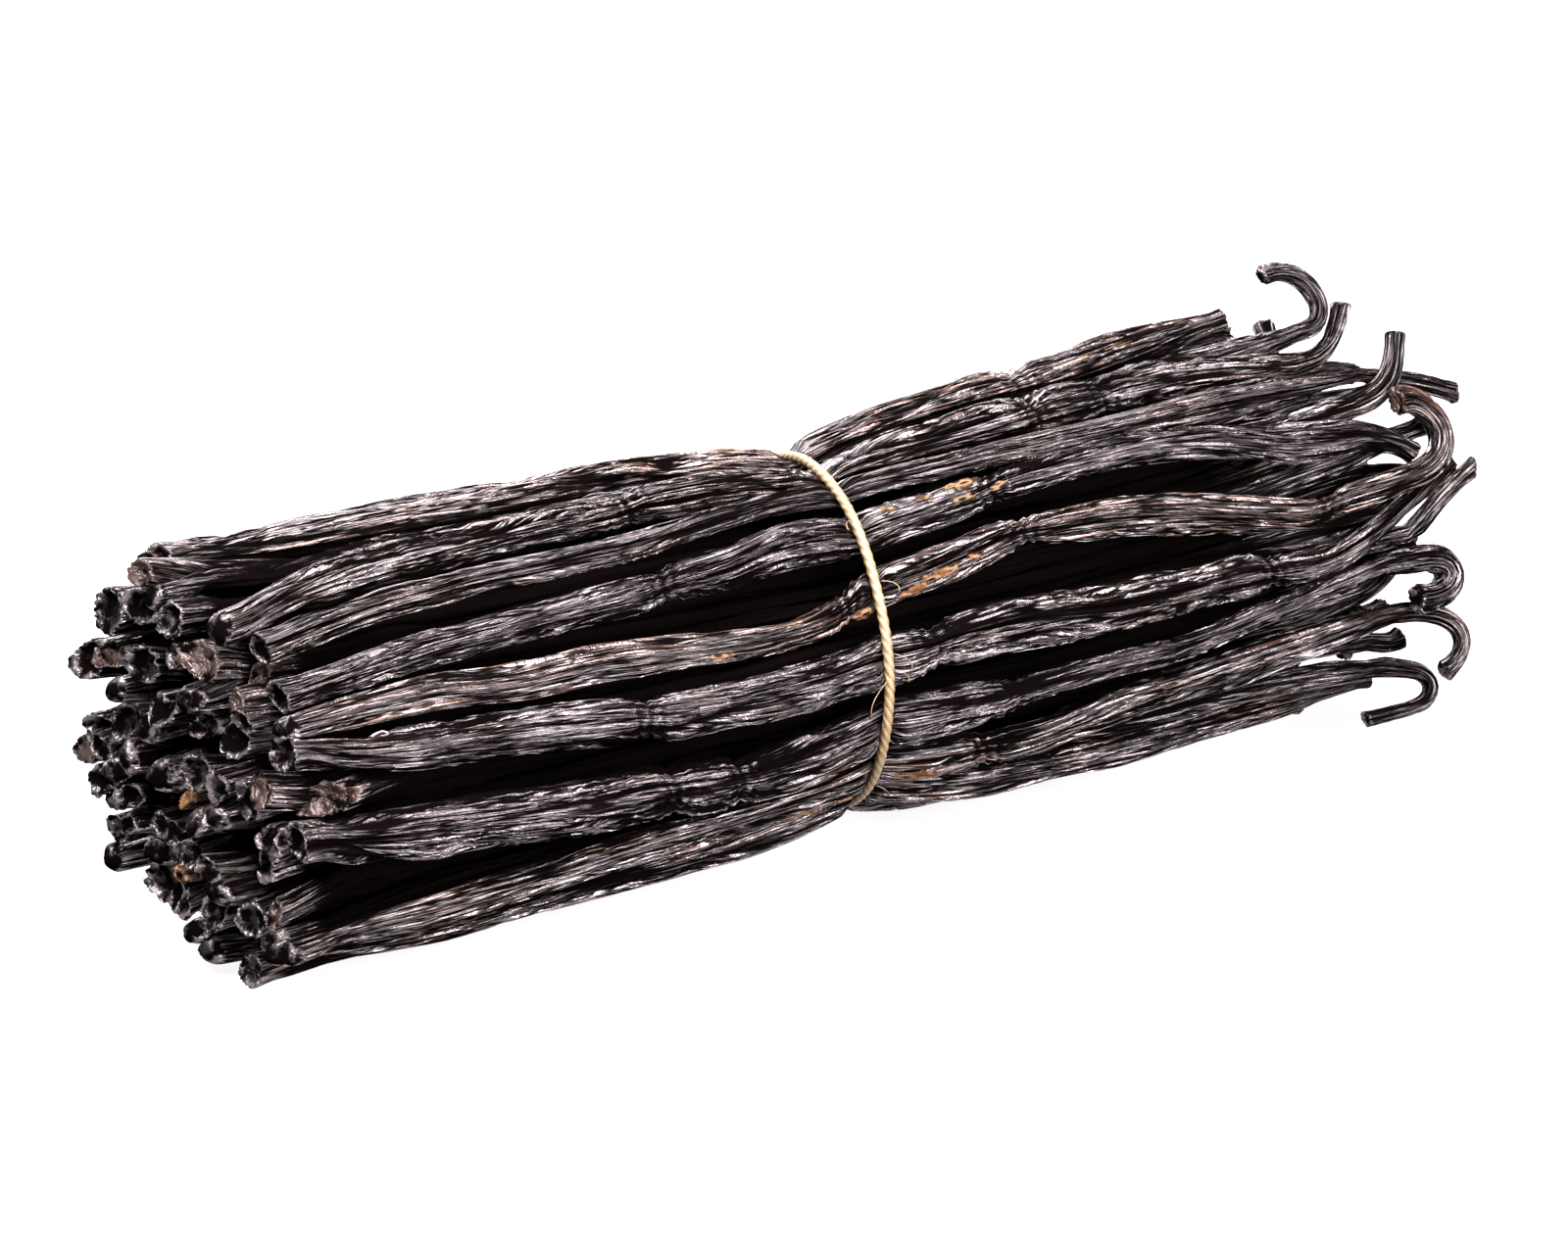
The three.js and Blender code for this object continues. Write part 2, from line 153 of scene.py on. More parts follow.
class Finish:
    """A material made of nodes, with one Principled shader and, where wanted, a matte one mixed with it."""

    def __init__(self, name):
        self.material = bpy.data.materials.new(name)
        self.material.use_nodes = True
        self.tree = self.material.node_tree
        self.shader = self.tree.nodes["Principled BSDF"]

    def put(self, socket, value):
        """Links a signal to a socket, or sets the socket to a plain value."""
        if isinstance(value, Signal):
            self.tree.links.new(value.socket, socket)
        else:
            socket.default_value = value

    def node(self, kind, settings=None, inputs=None, output=0):
        """A node of a kind, its settings set first and then its inputs, by name or number."""
        made = self.tree.nodes.new(kind)
        for name, value in (settings or {}).items():
            setattr(made, name, value)
        for name, value in (inputs or {}).items():
            self.put(made.inputs[name], value)
        return Signal(self, made.outputs[output])

    def math(self, operation, *values):
        """The result of a Math node on one or two numbers."""
        return self.node("ShaderNodeMath", {"operation": operation}, dict(enumerate(values)))

    def mix(self, share, first, second):
        """A colour between two colours."""
        return self.node("ShaderNodeMix", {"data_type": "RGBA"}, {0: share, 6: first, 7: second}, output=2)

    def attribute(self, name):
        """A number stored on the mesh."""
        return self.node("ShaderNodeAttribute", {"attribute_name": name}, output="Fac")

    def stretched(self, along, across):
        """The place on the mesh's own map, in metres, with its two directions scaled apart."""
        place = self.node("ShaderNodeUVMap", {"uv_map": "lay"})
        scales = (along, across, 1)
        return self.node("ShaderNodeVectorMath", {"operation": "MULTIPLY"}, {0: place, 1: scales})

    def noise(self, along, across, detail=2.0, roughness=0.5):
        """Noise from 0 to 1 over the mesh's own map, with so many cells in each metre along and across."""
        place = self.stretched(along, across)
        inputs = {"Vector": place, "Scale": 1.0, "Detail": detail, "Roughness": roughness}
        return self.node("ShaderNodeTexNoise", inputs=inputs)

    def solid_noise(self, scale, detail):
        """Noise from 0 to 1 through the solid, with so many cells in each metre."""
        place = self.node("ShaderNodeTexCoord", output="Object")
        return self.node("ShaderNodeTexNoise", inputs={"Vector": place, "Scale": scale, "Detail": detail})

    def crease(self, along, across, width, detail=2.0):
        """Fine wrinkles: 0 on the lines where noise crosses its middle value, 1 at `width` away from it."""
        return abs(self.noise(along, across, detail) - 0.5).ramp(0.0, width)

    def spots(self, along, across):
        """The distance to the nearest of scattered spots on the mesh's own map, in cells."""
        inputs = {"Vector": self.stretched(along, across), "Scale": 1.0}
        return self.node("ShaderNodeTexVoronoi", {"voronoi_dimensions": "2D"}, inputs)

    def bump(self, height, distance):
        """A Bump node on a height from 0 to 1, over a distance in metres."""
        inputs = {"Height": height, "Distance": distance}
        return self.node("ShaderNodeBump", inputs=inputs)

    def shade(self, **sockets):
        """Sets the shader's sockets by name, with underscores for spaces."""
        for name, value in sockets.items():
            self.put(self.shader.inputs[name.replace("_", " ")], value)

    def dull(self, share, colour):
        """Gives way to a matte shader of another colour by a share from 0 to 1."""
        matte = self.node("ShaderNodeBsdfPrincipled", inputs={
            "Base Color": colour, "Roughness": 0.9, "Specular IOR Level": 0.0})
        glossy = Signal(self, self.shader.outputs[0])
        mixed = self.node("ShaderNodeMixShader", inputs={0: share, 1: glossy, 2: matte})
        self.put(self.tree.nodes["Material Output"].inputs["Surface"], mixed)


floor_mesh = bpy.data.meshes.new("floor")
floor_corners = [(x * FLOOR_HALF, y * FLOOR_HALF, 0) for x, y in ((-1, -1), (1, -1), (1, 1), (-1, 1))]
floor_mesh.from_pydata(floor_corners, [], [(0, 1, 2, 3)])
floor = added("floor", floor_mesh)
floor_paint = Finish("pale_floor")
floor_paint.shade(
    Base_Color=FLOOR_GREY,
    Roughness=0.8,
    Emission_Color=FLOOR_GLOW_TINT,
    Emission_Strength=FLOOR_GLOW,
)
floor_mesh.materials.append(floor_paint.material)
# The floor's glow is seen, but the lights alone light the bundle.
floor.visible_diffuse = False

for light_name, (light_place, light_size, light_power) in LIGHTS.items():
    lamp = added(light_name, bpy.data.lights.new(light_name, "AREA"))
    away = np.array(light_place) / np.linalg.norm(light_place)
    sideways = np.cross([0, 0, 1], away)
    sideways /= np.linalg.norm(sideways)
    lamp.matrix_world = facing(sideways, np.cross(away, sideways), away, light_place)
    lamp.data.size = light_size
    lamp.data.energy = light_power
    lamp.data.color = LIGHT_TINT

surround = bpy.data.worlds.new("surround")
surround.use_nodes = True
surround.node_tree.nodes["Background"].inputs["Color"].default_value = (1, 1, 1, 1)
surround.node_tree.nodes["Background"].inputs["Strength"].default_value = SURROUND_STRENGTH
bpy.context.scene.world = surround
bpy.context.scene.view_settings.view_transform = "Standard"


# ----------------------------------------------------------------------------------------------------
# How the pods lie. Cured pods are laid parallel, blossom tips one way and stalks the other, and the
# string squeezes them at the waist. Each outer pod winds a little round the bundle, and the inner
# ones fill the middle.
# ----------------------------------------------------------------------------------------------------
# The outline: its radius at the waist and past the swell, the length of the swell, and how much it
# widens for each millimetre on top. The middle line bows sideways by so much at BOW_AT.
WAIST_RADIUS = 22.7
END_RADIUS = 26.4
SWELL_LENGTH = 11
FLARE = 0.012
BOW_STEM = 3.2
BOW_BLOSSOM = 0.8
BOW_AT = 60
# How far along X the tight string leans: its middle, its reach and the angle where it leans least.
LEAN_MIDDLE, LEAN_REACH, LEAN_AT = -0.15, 1.2, 225
# The two ends along X, how much the blossom end is cut aslant, and how uneven both ends are.
BLOSSOM_X, STEM_X = -84, 70
TIP_SLANT = 0.17
TIP_SCATTER, END_SCATTER = 1.5, 5
# How thick a pod is for its width, where it reaches its full width, and how much a tip is widened.
THICKNESS_SHARE = 0.82
FULL_FROM_TIP = 3
TIP_GROWTH = 1.15
WIDTH_SCATTER = 1.2
# Where stalks bend unless they are told: up and a little to the front. Loose ones bend by so many
# degrees over so many millimetres, each given as its middle and its spread.
UP_IN_FRONT = 60
LOOSE_BEND, LOOSE_LENGTH = (80, 140), (7, 4)


@dataclass
class Pod:
    """One pod as it lies. Angles are in degrees."""

    # Places along X, each with the angle round the bundle and the pod's width there.
    track: tuple
    # The blossom tip and the end of the body along X.
    span: tuple
    # How far it sinks below the outline at the blossom end, the waist and the stem end.
    depths: tuple = (0, 0, 0)
    # Places along X where it was folded.
    kinks: tuple = ()
    # How brown and how crumpled its skin is, from 0 to 1.
    tan: float = 0.3
    crinkle: float = 0.3
    # The stalk's distances past the body with its headings there, and the angle that it bends towards.
    way: tuple = ((0, 0), (8, 0))
    towards: float = UP_IN_FRONT
    # How far past the body the stalk is at its thinnest, its radius there, and how brown its end is.
    thin: float = 8
    foot: float = 1.5
    stub: float = 0.3
    # The kind of blossom end, and how far it leans out of square, outwards and round the bundle.
    face: str = "cup"
    slant: tuple = None
    # Corky patches, each with its place along X, degrees round the pod, half length and half breadth.
    scars: tuple = ()
    # Where the blossom end of an inner pod lies across the bundle.
    spot: np.ndarray = None


# The pods of the top, the front and the near underside, in that order.
FRONT_PODS = [
    Pod(track=((-82.6, 65, 4), (-70, 60, 6), (0, 45, 7), (66, 46, 6)), span=(-82.6, 63),
        depths=(0.5, 0, 0), tan=0.5, towards=-40, way=((0, 0), (6, 10), (12, 50)), face="brown"),
    Pod(track=((-81.4, 66, 4.6), (-70, 66, 6.4), (0, 66, 6.8), (20, 64, 7), (64, 61, 6.6)),
        span=(-81.4, 64), depths=(0.4, 0, -1), kinks=(34,), tan=0.7, way=((0, 0), (4, 0)), thin=6,
        foot=1.3, stub=0.5),
    Pod(track=((-84.2, 83, 4), (-70, 84, 6), (0, 78, 6.4), (50, 81, 7), (60, 84, 6.6), (74, 87, 5)),
        span=(-84.2, 73), depths=(3.1, 3, 1.6), tan=0.2, crinkle=0.8,
        way=((0, -10), (2, 0), (3.8, 47), (6.4, 95), (9.2, 120), (12, 152), (16, 188)), thin=3,
        face="thumb"),
    Pod(track=((-81.2, 112.5, 4.6), (-76, 108, 6), (-70, 102.5, 6.8), (-60, 97.5, 7.2),
               (-20, 93, 7), (0, 91, 6.4), (20, 92.5, 7.6), (40, 94, 8), (50, 97, 7.4),
               (63, 108, 4.6)), span=(-81.2, 64), kinks=(-27, 30, 40), tan=0.4, crinkle=0.8,
        way=((0, -7), (4.6, 9), (7.6, 35), (10.2, 59), (14.3, 66)), thin=12, foot=1.5, face="thumb",
        slant=(0.35, 0.1)),
    Pod(track=((-78.1, 123, 5), (-70, 118.5, 4.8), (-50, 115, 4.6), (-30, 113.5, 4.2),
               (-10, 106, 3.8), (0, 103.5, 3.2), (10, 107.5, 3.6), (30, 111, 4), (50, 112.5, 4.8),
               (70, 118, 3.4)), span=(-78.1, 74), tan=0.3, crinkle=0.6,
        way=((0, -16), (7, -19), (15.5, -30)), thin=2, foot=1.6, stub=0.7, slant=(0.1, 0.2)),
    Pod(track=((-77.5, 123, 5), (-60, 123, 6), (0, 112, 5), (50, 118, 4.5), (60, 122, 5),
               (71, 125, 6.4)), span=(-77.5, 71), depths=(5.4, 7, 1.5),
        way=((0, -3), (4, 10), (7, 40), (10, 62), (13.6, 70)), thin=17, foot=1.15, face="brown"),
    Pod(track=((-77.9, 136, 4.8), (-70, 134, 4.8), (-60, 130.5, 5), (-40, 128.5, 5.4),
               (-20, 126.5, 5.8), (-10, 120.5, 6.8), (0, 120, 7), (10, 121, 6), (20, 121, 5),
               (40, 122, 5), (50, 126, 5), (60, 133, 6.8), (70, 137, 6.2)), span=(-77.9, 70),
        kinks=(-28, 18), tan=0.1, crinkle=0.4, way=((0, -8), (5, -20), (9, -40)), thin=12, foot=1.4,
        slant=(0.1, 0.35),
        scars=((4, -10, 1.2, 0.7), (8.5, -15, 1.3, 0.6), (14, -20, 2.4, 0.8), (13.5, 25, 1.8, 0.6),
               (18.5, 30, 1.2, 0.6))),
    Pod(track=((-82, 140, 3.6), (-60, 140, 5), (-40, 142, 5), (0, 140, 5), (45, 142, 4.6),
               (60, 140, 4.4), (79, 138, 3.6)), span=(-82, 79), depths=(3, 7.5, 4), tan=0.2,
        way=((0, 0), (3, 0)), foot=1.6),
    Pod(track=((-78, 145, 4), (-70, 144, 4.7), (-60, 143.5, 5), (-50, 146, 5), (-40, 145.5, 4.9),
               (-20, 149.5, 4.4), (-10, 149, 4.6), (0, 142.5, 6.2), (10, 140, 6.2), (20, 136, 4.5),
               (30, 137, 5.4), (40, 140.5, 6.6), (50, 147, 6), (60, 153, 4.6), (68, 152.5, 3.8)),
        span=(-78, 68), kinks=(-5, 20, 63), tan=0.8, crinkle=0.1,
        way=((0, -2), (9, 2), (12.2, 25), (14.8, 64), (17.2, 100), (19.6, 125), (21.8, 146),
             (24, 178)), thin=12, foot=1.9, stub=0.9, face="thumb",
        scars=((-3, 60, 1.8, 1.0), (4, 50, 2.0, 0.7), (7.5, 30, 2.6, 0.9), (12.5, 20, 0.8, 0.7),
               (-24, 35, 1.6, 0.4))),
    Pod(track=((-79, 152.5, 4.6), (-70, 158.5, 6.6), (-50, 161, 7.2), (-30, 165, 7.4),
               (-20, 166, 6.8), (-10, 166.5, 7.3), (0, 165.5, 7.4), (10, 163.5, 7.6),
               (20, 163.5, 8), (30, 166, 7.4), (50, 167.3, 6.2), (60, 168.5, 4.8)), span=(-79, 61),
        kinks=(-34, 6, 53), tan=0.25, crinkle=0.5, way=((0, 8), (6.7, 19), (14.8, 25), (24, 30)),
        thin=17, foot=1.5, stub=0.8),
    Pod(track=((-75, 167.5, 6.6), (-70, 167, 5), (-62, 167, 3.6), (0, 165, 4.4), (45, 165, 4.6),
               (60, 170, 4.6), (75, 169.5, 4.2)), span=(-75, 75), depths=(0, 8, 2.5),
        way=((0, 34), (5, 36), (9, 30), (12.7, 27)), thin=11, foot=1.6, stub=0.9, face="brown",
        slant=(1.3, -0.2)),
    Pod(track=((-79, 177.5, 5.2), (-70, 183, 7.6), (-60, 184.5, 8), (-40, 189, 8.2),
               (-20, 190.5, 7.6), (0, 188, 7.4), (10, 184.5, 6.3), (20, 182.5, 4.4), (30, 181, 3.8),
               (40, 182, 3.8), (50, 178, 3.4), (70, 173.5, 4.4)), span=(-79, 70),
        kinks=(-31, -22, 16), tan=0.15, crinkle=0.9,
        way=((0, -7), (5.8, -11), (8.6, -29), (10.6, -79), (12.4, -135), (14.6, -175), (18, -195)),
        thin=22, foot=2.1),
    Pod(track=((-80.4, 207, 4.2), (-70, 199, 4.8), (-55, 198, 4.8), (-30, 205, 4.6), (0, 210, 4.6),
               (40, 206, 4.2), (66, 211, 4)), span=(-80.4, 66.5), depths=(1.5, 7, 3), tan=0.2,
        way=((0, 3), (5.5, 0), (8.2, -11), (11.3, 25)), thin=6, foot=1.5, stub=0.3, face="brown"),
    Pod(track=((-79, 222, 4.8), (-70, 219, 6), (-50, 216, 6.4), (-30, 212, 6.6), (-10, 211, 6.2),
               (0, 212, 6.8), (10, 208, 7.2), (20, 204, 6.4), (30, 199, 7), (50, 197, 6.9),
               (60, 194, 6.2), (70, 190.5, 4.2)), span=(-79, 70), kinks=(13,), tan=0.6, crinkle=0.1,
        way=((0, -3), (5.4, -14), (8.7, -28), (11.6, -53), (13.8, -95), (16, -140), (19.4, -165)),
        thin=11, foot=1.55, face="thumb",
        scars=((3.5, 0, 2.8, 1.1), (-12, 50, 3.2, 0.9), (-6, 15, 1.2, 0.6))),
    Pod(track=((-79.3, 221.5, 4), (-60, 216, 4.6), (0, 224, 4.6), (30, 218, 4.6), (60, 216, 4.8),
               (73, 217, 4.2)), span=(-79.3, 73), depths=(2, 3.5, 0), tan=0.2, crinkle=0.2,
        way=((0, -7), (6.2, -14), (8.6, -52), (10.2, -115), (12.3, -161), (15.7, -175),
             (21.5, -176)), thin=12, foot=1.2, face="thumb"),
    Pod(track=((-81, 238, 4.4), (-70, 238, 6), (0, 231, 6.4), (20, 227, 5.8), (40, 228, 5.8),
               (60, 231, 4.6), (72, 232, 2.4)), span=(-81, 72), depths=(0, 0, 0.3), tan=0.45,
        crinkle=0.2, way=((0, 0), (4, 0)), thin=8, foot=0.8, face="cup"),
    Pod(track=((-82.5, 258, 4.6), (-60, 257, 6.6), (0, 251, 6.6), (40, 248, 6.6), (62, 247, 5)),
        span=(-82.5, 60), depths=(2.5, 0, 0.5), way=((0, -5), (8, -10)), thin=6, foot=1.5,
        face="thumb"),
]
# The blossom ends of the other outer pods: angle, distance from the middle, width and kind.
BACK_TIPS = (
    (263, 21, 3.2, "thumb"), (275, 18.7, 4, "crescent"), (286, 19, 4.6, "cup"),
    (310, 24.5, 4, "thumb"), (318, 21.5, 4.6, "cup"), (333, 21, 4.6, "cup"),
    (345, 23.3, 3.6, "brown"), (17.5, 21.5, 4.2, "cup"), (31, 18.5, 4, "brown"),
    (47, 21.5, 5.2, "cup"),
)
BACK_WAIST_FROM, BACK_WAIST_STEP = 251, 14
BACK_STEM_FROM, BACK_STEM_STEP = 245, 14.6
BACK_JITTER = 3
BACK_STEM_X = 64
BACK_WIDTH = 7
BACK_BENDS_TO = -70
# The blossom ends of the inner pods, likewise.
INNER_TIPS = (
    (79, 24.3, 3.2, "brown"), (70, 20, 4.8, "cup"), (91.5, 20.5, 4.2, "cup"),
    (112.5, 19.2, 5, "brown"), (95, 16.5, 3.4, "crescent"), (58, 13, 5, "cup"),
    (82, 8.5, 5.4, "crescent"), (108, 11.5, 2.8, "thumb"), (121, 9.8, 4.4, "crescent"),
    (119, 14.5, 2, "thumb"), (131.5, 20, 2.6, "brown"), (144, 17.5, 4.2, "cup"),
    (357, 17, 4.6, "cup"), (349, 18.8, 4.8, "cup"), (27, 13.5, 3, "thumb"), (350, 9, 3.8, "thumb"),
    (337, 14.5, 4.4, "thumb"), (326, 19, 4.8, "cup"), (313, 18, 4.4, "crescent"),
    (321, 13.8, 4.8, "crescent"), (330, 2.5, 3.6, "thumb"), (160, 4.5, 4.6, "cup"),
    (255, 3.6, 2, "gold"), (169, 10.5, 5.2, "crescent"), (168, 15.5, 4.6, "cup"),
    (162, 20, 4.2, "brown"), (192, 9.5, 3.6, "thumb"), (218, 7.3, 3.4, "thumb"),
    (288, 9.2, 4.8, "crescent"), (250, 10.5, 3.6, "cup"), (231, 12, 3.2, "crescent"),
    (290, 13.7, 4.4, "thumb"), (273, 14.3, 2.6, "gold"), (267, 17.7, 3.6, "crescent"),
    (181, 20.5, 4.4, "crescent"), (192, 19.5, 5, "crescent"), (232, 15.5, 3.8, "thumb"),
    (246, 17.3, 4.4, "cup"), (225.5, 19.8, 4.4, "cup"), (5, 13, 4, "cup"), (30, 7, 4, "thumb"),
)
INNER_STEM_X = 70
INNER_WIDTH = 6.2
INNER_SQUEEZED = ((-45, 0.75), (45, 0.75))
INNER_STEM_SHARE = 0.85
INNER_SEED = 200
# How the inner pods are pushed apart: in so many rounds, to so much more than the even spacing.
SPREAD_ROUNDS = 80
SPREAD_SHARE = 1.06
PUSH_SHARE = 0.25


def scatter(seed):
    """A repeatable number between -0.5 and 0.5 for a whole number: the far digits of a sine."""
    wave = np.sin(seed * 12.9898 + 4.1) * 43758.5453
    return wave - np.floor(wave) - 0.5


def about(middle, spread, seed):
    """A repeatable number that lies within half of the spread from the middle."""
    return middle + spread * scatter(seed)


def across(degrees):
    """The direction (y, z) at an angle round the bundle."""
    return np.array([np.cos(np.radians(degrees)), np.sin(np.radians(degrees))])


def outline_radius(x):
    """The bundle's outline at x: the waist's radius and an exponential swell away from it."""
    away = np.abs(x)
    swell = (END_RADIUS - WAIST_RADIUS) * (1 - np.exp(-away / SWELL_LENGTH))
    return WAIST_RADIUS + swell + FLARE * away


def bow(x):
    """Sideways place of the bundle's middle line: a parabola on each side of the waist."""
    return np.where(x > 0, BOW_STEM, BOW_BLOSSOM) * (x / BOW_AT) ** 2


def string_lean(degrees):
    """How far along X the tight string leans at an angle round the bundle: one slow wave."""
    return LEAN_MIDDLE - LEAN_REACH * np.cos(np.radians(degrees - LEAN_AT))


def along(values, x, power):
    """A quantity given at blossom end, waist and stem end, at x: level at the waist, with a power from
    there."""
    blossom, middle, stem = values
    left = middle + (blossom - middle) * np.abs(np.minimum(x, 0) / BLOSSOM_X) ** power
    right = (stem - middle) * np.abs(np.maximum(x, 0) / STEM_X) ** power
    return left + right


def loose_way(seed):
    """A stalk's way that nobody chose: it bends once, by 10 to 150 degrees over 5 to 9 millimetres."""
    bend = about(*LOOSE_BEND, seed)
    length = about(*LOOSE_LENGTH, seed + 3)
    return (0, 0), (2, 0.1 * bend), (2 + length, bend), (4 + length, bend)


def tip_x(radius, angle):
    """Where a blossom tip ends along X: the farther towards the far side, the farther out."""
    return BLOSSOM_X - TIP_SLANT * radius * np.cos(np.radians(angle))


def tip_depth(radius, width):
    """How far a blossom end sinks below the outline when its middle is at a radius in the bundle."""
    return outline_radius(BLOSSOM_X) - radius - width / 2 * THICKNESS_SHARE


def back_pods():
    """The pods of the far underside and the far side: even steps of angle, with small irregularities."""
    pods = []
    for number, (angle, radius, width, face) in enumerate(BACK_TIPS, 1):
        width *= TIP_GROWTH
        middle = about(BACK_WAIST_FROM + BACK_WAIST_STEP * number, BACK_JITTER, number * 3 + 1)
        stem = about(BACK_STEM_FROM + BACK_STEM_STEP * number, BACK_JITTER, number * 3 + 2)
        angle += 360 * round((middle - angle) / 360)
        first = tip_x(radius, angle)
        last = about(BACK_STEM_X, END_SCATTER, number + 70)
        body = about(BACK_WIDTH, WIDTH_SCATTER, number + 130)
        pods.append(Pod(
            track=((first, angle, width), (first + FULL_FROM_TIP, angle + 0.2 * (middle - angle), body),
                   (0, middle, body), (last, stem, body)),
            span=(first, last),
            depths=(tip_depth(radius, width), 0, 0),
            kinks=(about(-5, 110, number + 150), about(0, 40, number + 155)),
            tan=about(0.35, 0.5, number + 170),
            crinkle=about(0.4, 0.6, number + 190),
            way=loose_way(number + 90),
            towards=about(BACK_BENDS_TO, 50, number + 110),
            face=face,
        ))
    return pods


def inner_pods():
    """The pods inside: each runs from the place of its blossom end to where the crowd leaves it room."""
    pods = []
    for seed, (angle, radius, width, face) in enumerate(INNER_TIPS, INNER_SEED):
        first = about(tip_x(radius, angle), TIP_SCATTER, seed + 7)
        last = about(INNER_STEM_X, END_SCATTER, seed + 13)
        body = about(INNER_WIDTH, WIDTH_SCATTER, seed + 29)
        squeezed = [(x, angle, share * body) for x, share in INNER_SQUEEZED]
        pods.append(Pod(
            track=((first, angle, width * TIP_GROWTH), (first + FULL_FROM_TIP, angle, body), *squeezed,
                   (last, angle, INNER_STEM_SHARE * body)),
            span=(first, last),
            tan=about(0.3, 0.5, seed + 31),
            crinkle=about(0.3, 0.5, seed + 37),
            way=loose_way(seed + 19),
            towards=about(0, 360, seed + 23),
            thin=14,
            face=face,
            spot=radius * across(angle),
        ))
    return pods


def spread(places, limit):
    """Pushes crowded places apart until they fill a circle evenly: each of a pair that is closer than
    the even spacing moves by a quarter of what is missing, and none leaves the circle."""
    spacing = SPREAD_SHARE * np.sqrt(np.pi * limit ** 2 / len(places) * 2 / np.sqrt(3))
    apart_from_itself = np.eye(len(places)) * 1e3
    for _ in range(SPREAD_ROUNDS):
        gaps = places[:, None] - places[None]
        distance = np.linalg.norm(gaps, axis=2) + apart_from_itself
        push = np.maximum(spacing - distance, 0) / distance * PUSH_SHARE
        places = places + (gaps * push[..., None]).sum(1)
        places = places * np.minimum(1, limit / np.linalg.norm(places, axis=1))[:, None]
    return places


pods = FRONT_PODS + back_pods() + inner_pods()
outer_count = len(FRONT_PODS) + len(BACK_TIPS)
is_outer = np.arange(len(pods)) < outer_count


# ----------------------------------------------------------------------------------------------------
# The shape of a pod. A cured pod is a soft, flattened tube full of seeds, wrinkled lengthwise as it
# dried, with a blunt cupped scar where the blossom was and a stalk that curls. In the bundle the pods
# press each other flat.
# ----------------------------------------------------------------------------------------------------
GRID_STEP = 0.5
GRID = np.arange(-100, 110, GRID_STEP)
GRID_ROUNDING = 23
STALK_STEPS, STALK_ROUNDING = 400, 41
ROW_TRIALS = 2000
DENSE_LENGTH = 2.5
# How the pods differ by chance: how flat, how turned and how deeply cupped they are, and how far
# their tips lean and snake. The outer ones snake less. Faces lean towards VIEWED_FROM.
FLATNESS = (0.74, 0.95)
TURNED = 35
CUPPED = (0.3, 1.3)
LEANING = 0.35
SNAKING, SNAKING_LENGTH = 0.9, 16
OUTER_SNAKING = 0.3
VIEWED_FROM, FACE_LEAN = 150, 0.42
# The kinds of blossom end: how domed it is, how far one side is folded in, and how brown it is.
FACES = {
    "cup": (0, 0.12, 0.15),
    "thumb": (1, 0.15, 0.2),
    "brown": (0.15, 0.3, 1),
    "crescent": (0.1, 0.72, 0.3),
    "gold": (0.8, 0.5, 2),
}
# Where room is found for the inner pods along X, and how far from the middle they may lie there.
END_PLACES = (BLOSSOM_X, 0, STEM_X)
CROWD_LIMITS = (None, 13.5, 17.5)
# How the centre lines wander: millimetres or degrees, and over what length.
TURN_WANDER, TURN_WANDER_LENGTH = 0.5, 26
DEPTH_WANDER, DEPTH_WANDER_LENGTH = 0.35, 19
INNER_WANDER, INNER_WANDER_LENGTH = 0.35, 24
OUTER_POWER, INNER_POWER = 3, 2.6
SINK = 0.3
# The widths: the lip and the neck of the blossom end, slow and quick swellings (share, length and
# seed), the waist's squeeze, and the stalk's taper and flare.
LIP, LIP_LENGTH = 0.05, 0.8
NECK, NECK_AT, NECK_LENGTH = 0.06, 2.6, 1.4
SWELLINGS = ((0.05, 15, 800), (0.04, 6, 900))
WAIST_SQUEEZE, WAIST_SQUEEZE_LENGTH = 0.1, 14
STALK_TAPER = 22
FOOT_FLARE, FOOT_FLARE_LENGTH = 0.16, 1.1
LEAST_RADIUS = 0.3
LEAST_HEIGHT = 0.02
# A pod's own section: how far and over what length it turns, up to what half width it stays round and
# over how much more it turns flat, and how much it is three-cornered.
SECTION_TURN, SECTION_TURN_LENGTH = 30, 40
ROUND_UP_TO, FLAT_OVER = 1.04, 2.6
CORNERED = 0.05
# How far the tip's own shape reaches into the body, and the body's pressed shape into the stalk.
TIP_LENGTH = 7
PRESSED_STALK = 3
# A kink: its jog round the bundle in degrees, its squeeze, and the short folds across the pod.
KINK_JOG, KINK_JOG_LENGTH = 0.8, 2.5
KINK_SQUEEZE, KINK_LENGTH = 0.18, 1.5
KINK_FOLD_DEPTH, KINK_FOLD_LENGTH, KINK_FOLD_PITCH = 0.42, 2.8, 1.5
# The last number is the painted shade laid in the folds across a kink.
KINK_FOLD_BEND, KINK_SHADE = 1.2, 0.8
# How pods press: how hard the corner between two walls is, how far neighbours reach, and the string.
HARDNESS = 8
CONTACT_GAP = 0.12
NEIGHBOUR_REACH = 11
NEAREST_WALL = 0.8
WALL_GIVES_WAY = 1.5
STRING_FLOOR, STRING_FLOOR_WIDENS = 21.4, 0.02
STRING_BITE_DEPTH, STRING_BITE_LENGTH = 4.0, 2.2
# Noise over the skin: its cells round the pod, their length along it, and its place among the seeds.
SKIN_NOISE = {
    "slow bend": (5, 17, 0),
    "quick bend": (9, 5, 1),
    "ragged bend": (20, 1.7, 9),
    "fold": (7, 48, 2),
    "broad": (20, 30, 3),
    "narrow": (46, 16, 4),
    "lump": (4, 7, 5),
    "crinkle": (16, 1.1, 6),
    "crumpled patch": (4, 12, 7),
}
# The bends of the furrows, as shares of the pod's girth: on smooth skin, and added on crumpled skin.
BENDS = {"slow bend": (0.02, 0.035), "quick bend": (0.006, 0.014)}
RAGGED_BEND = 0.006
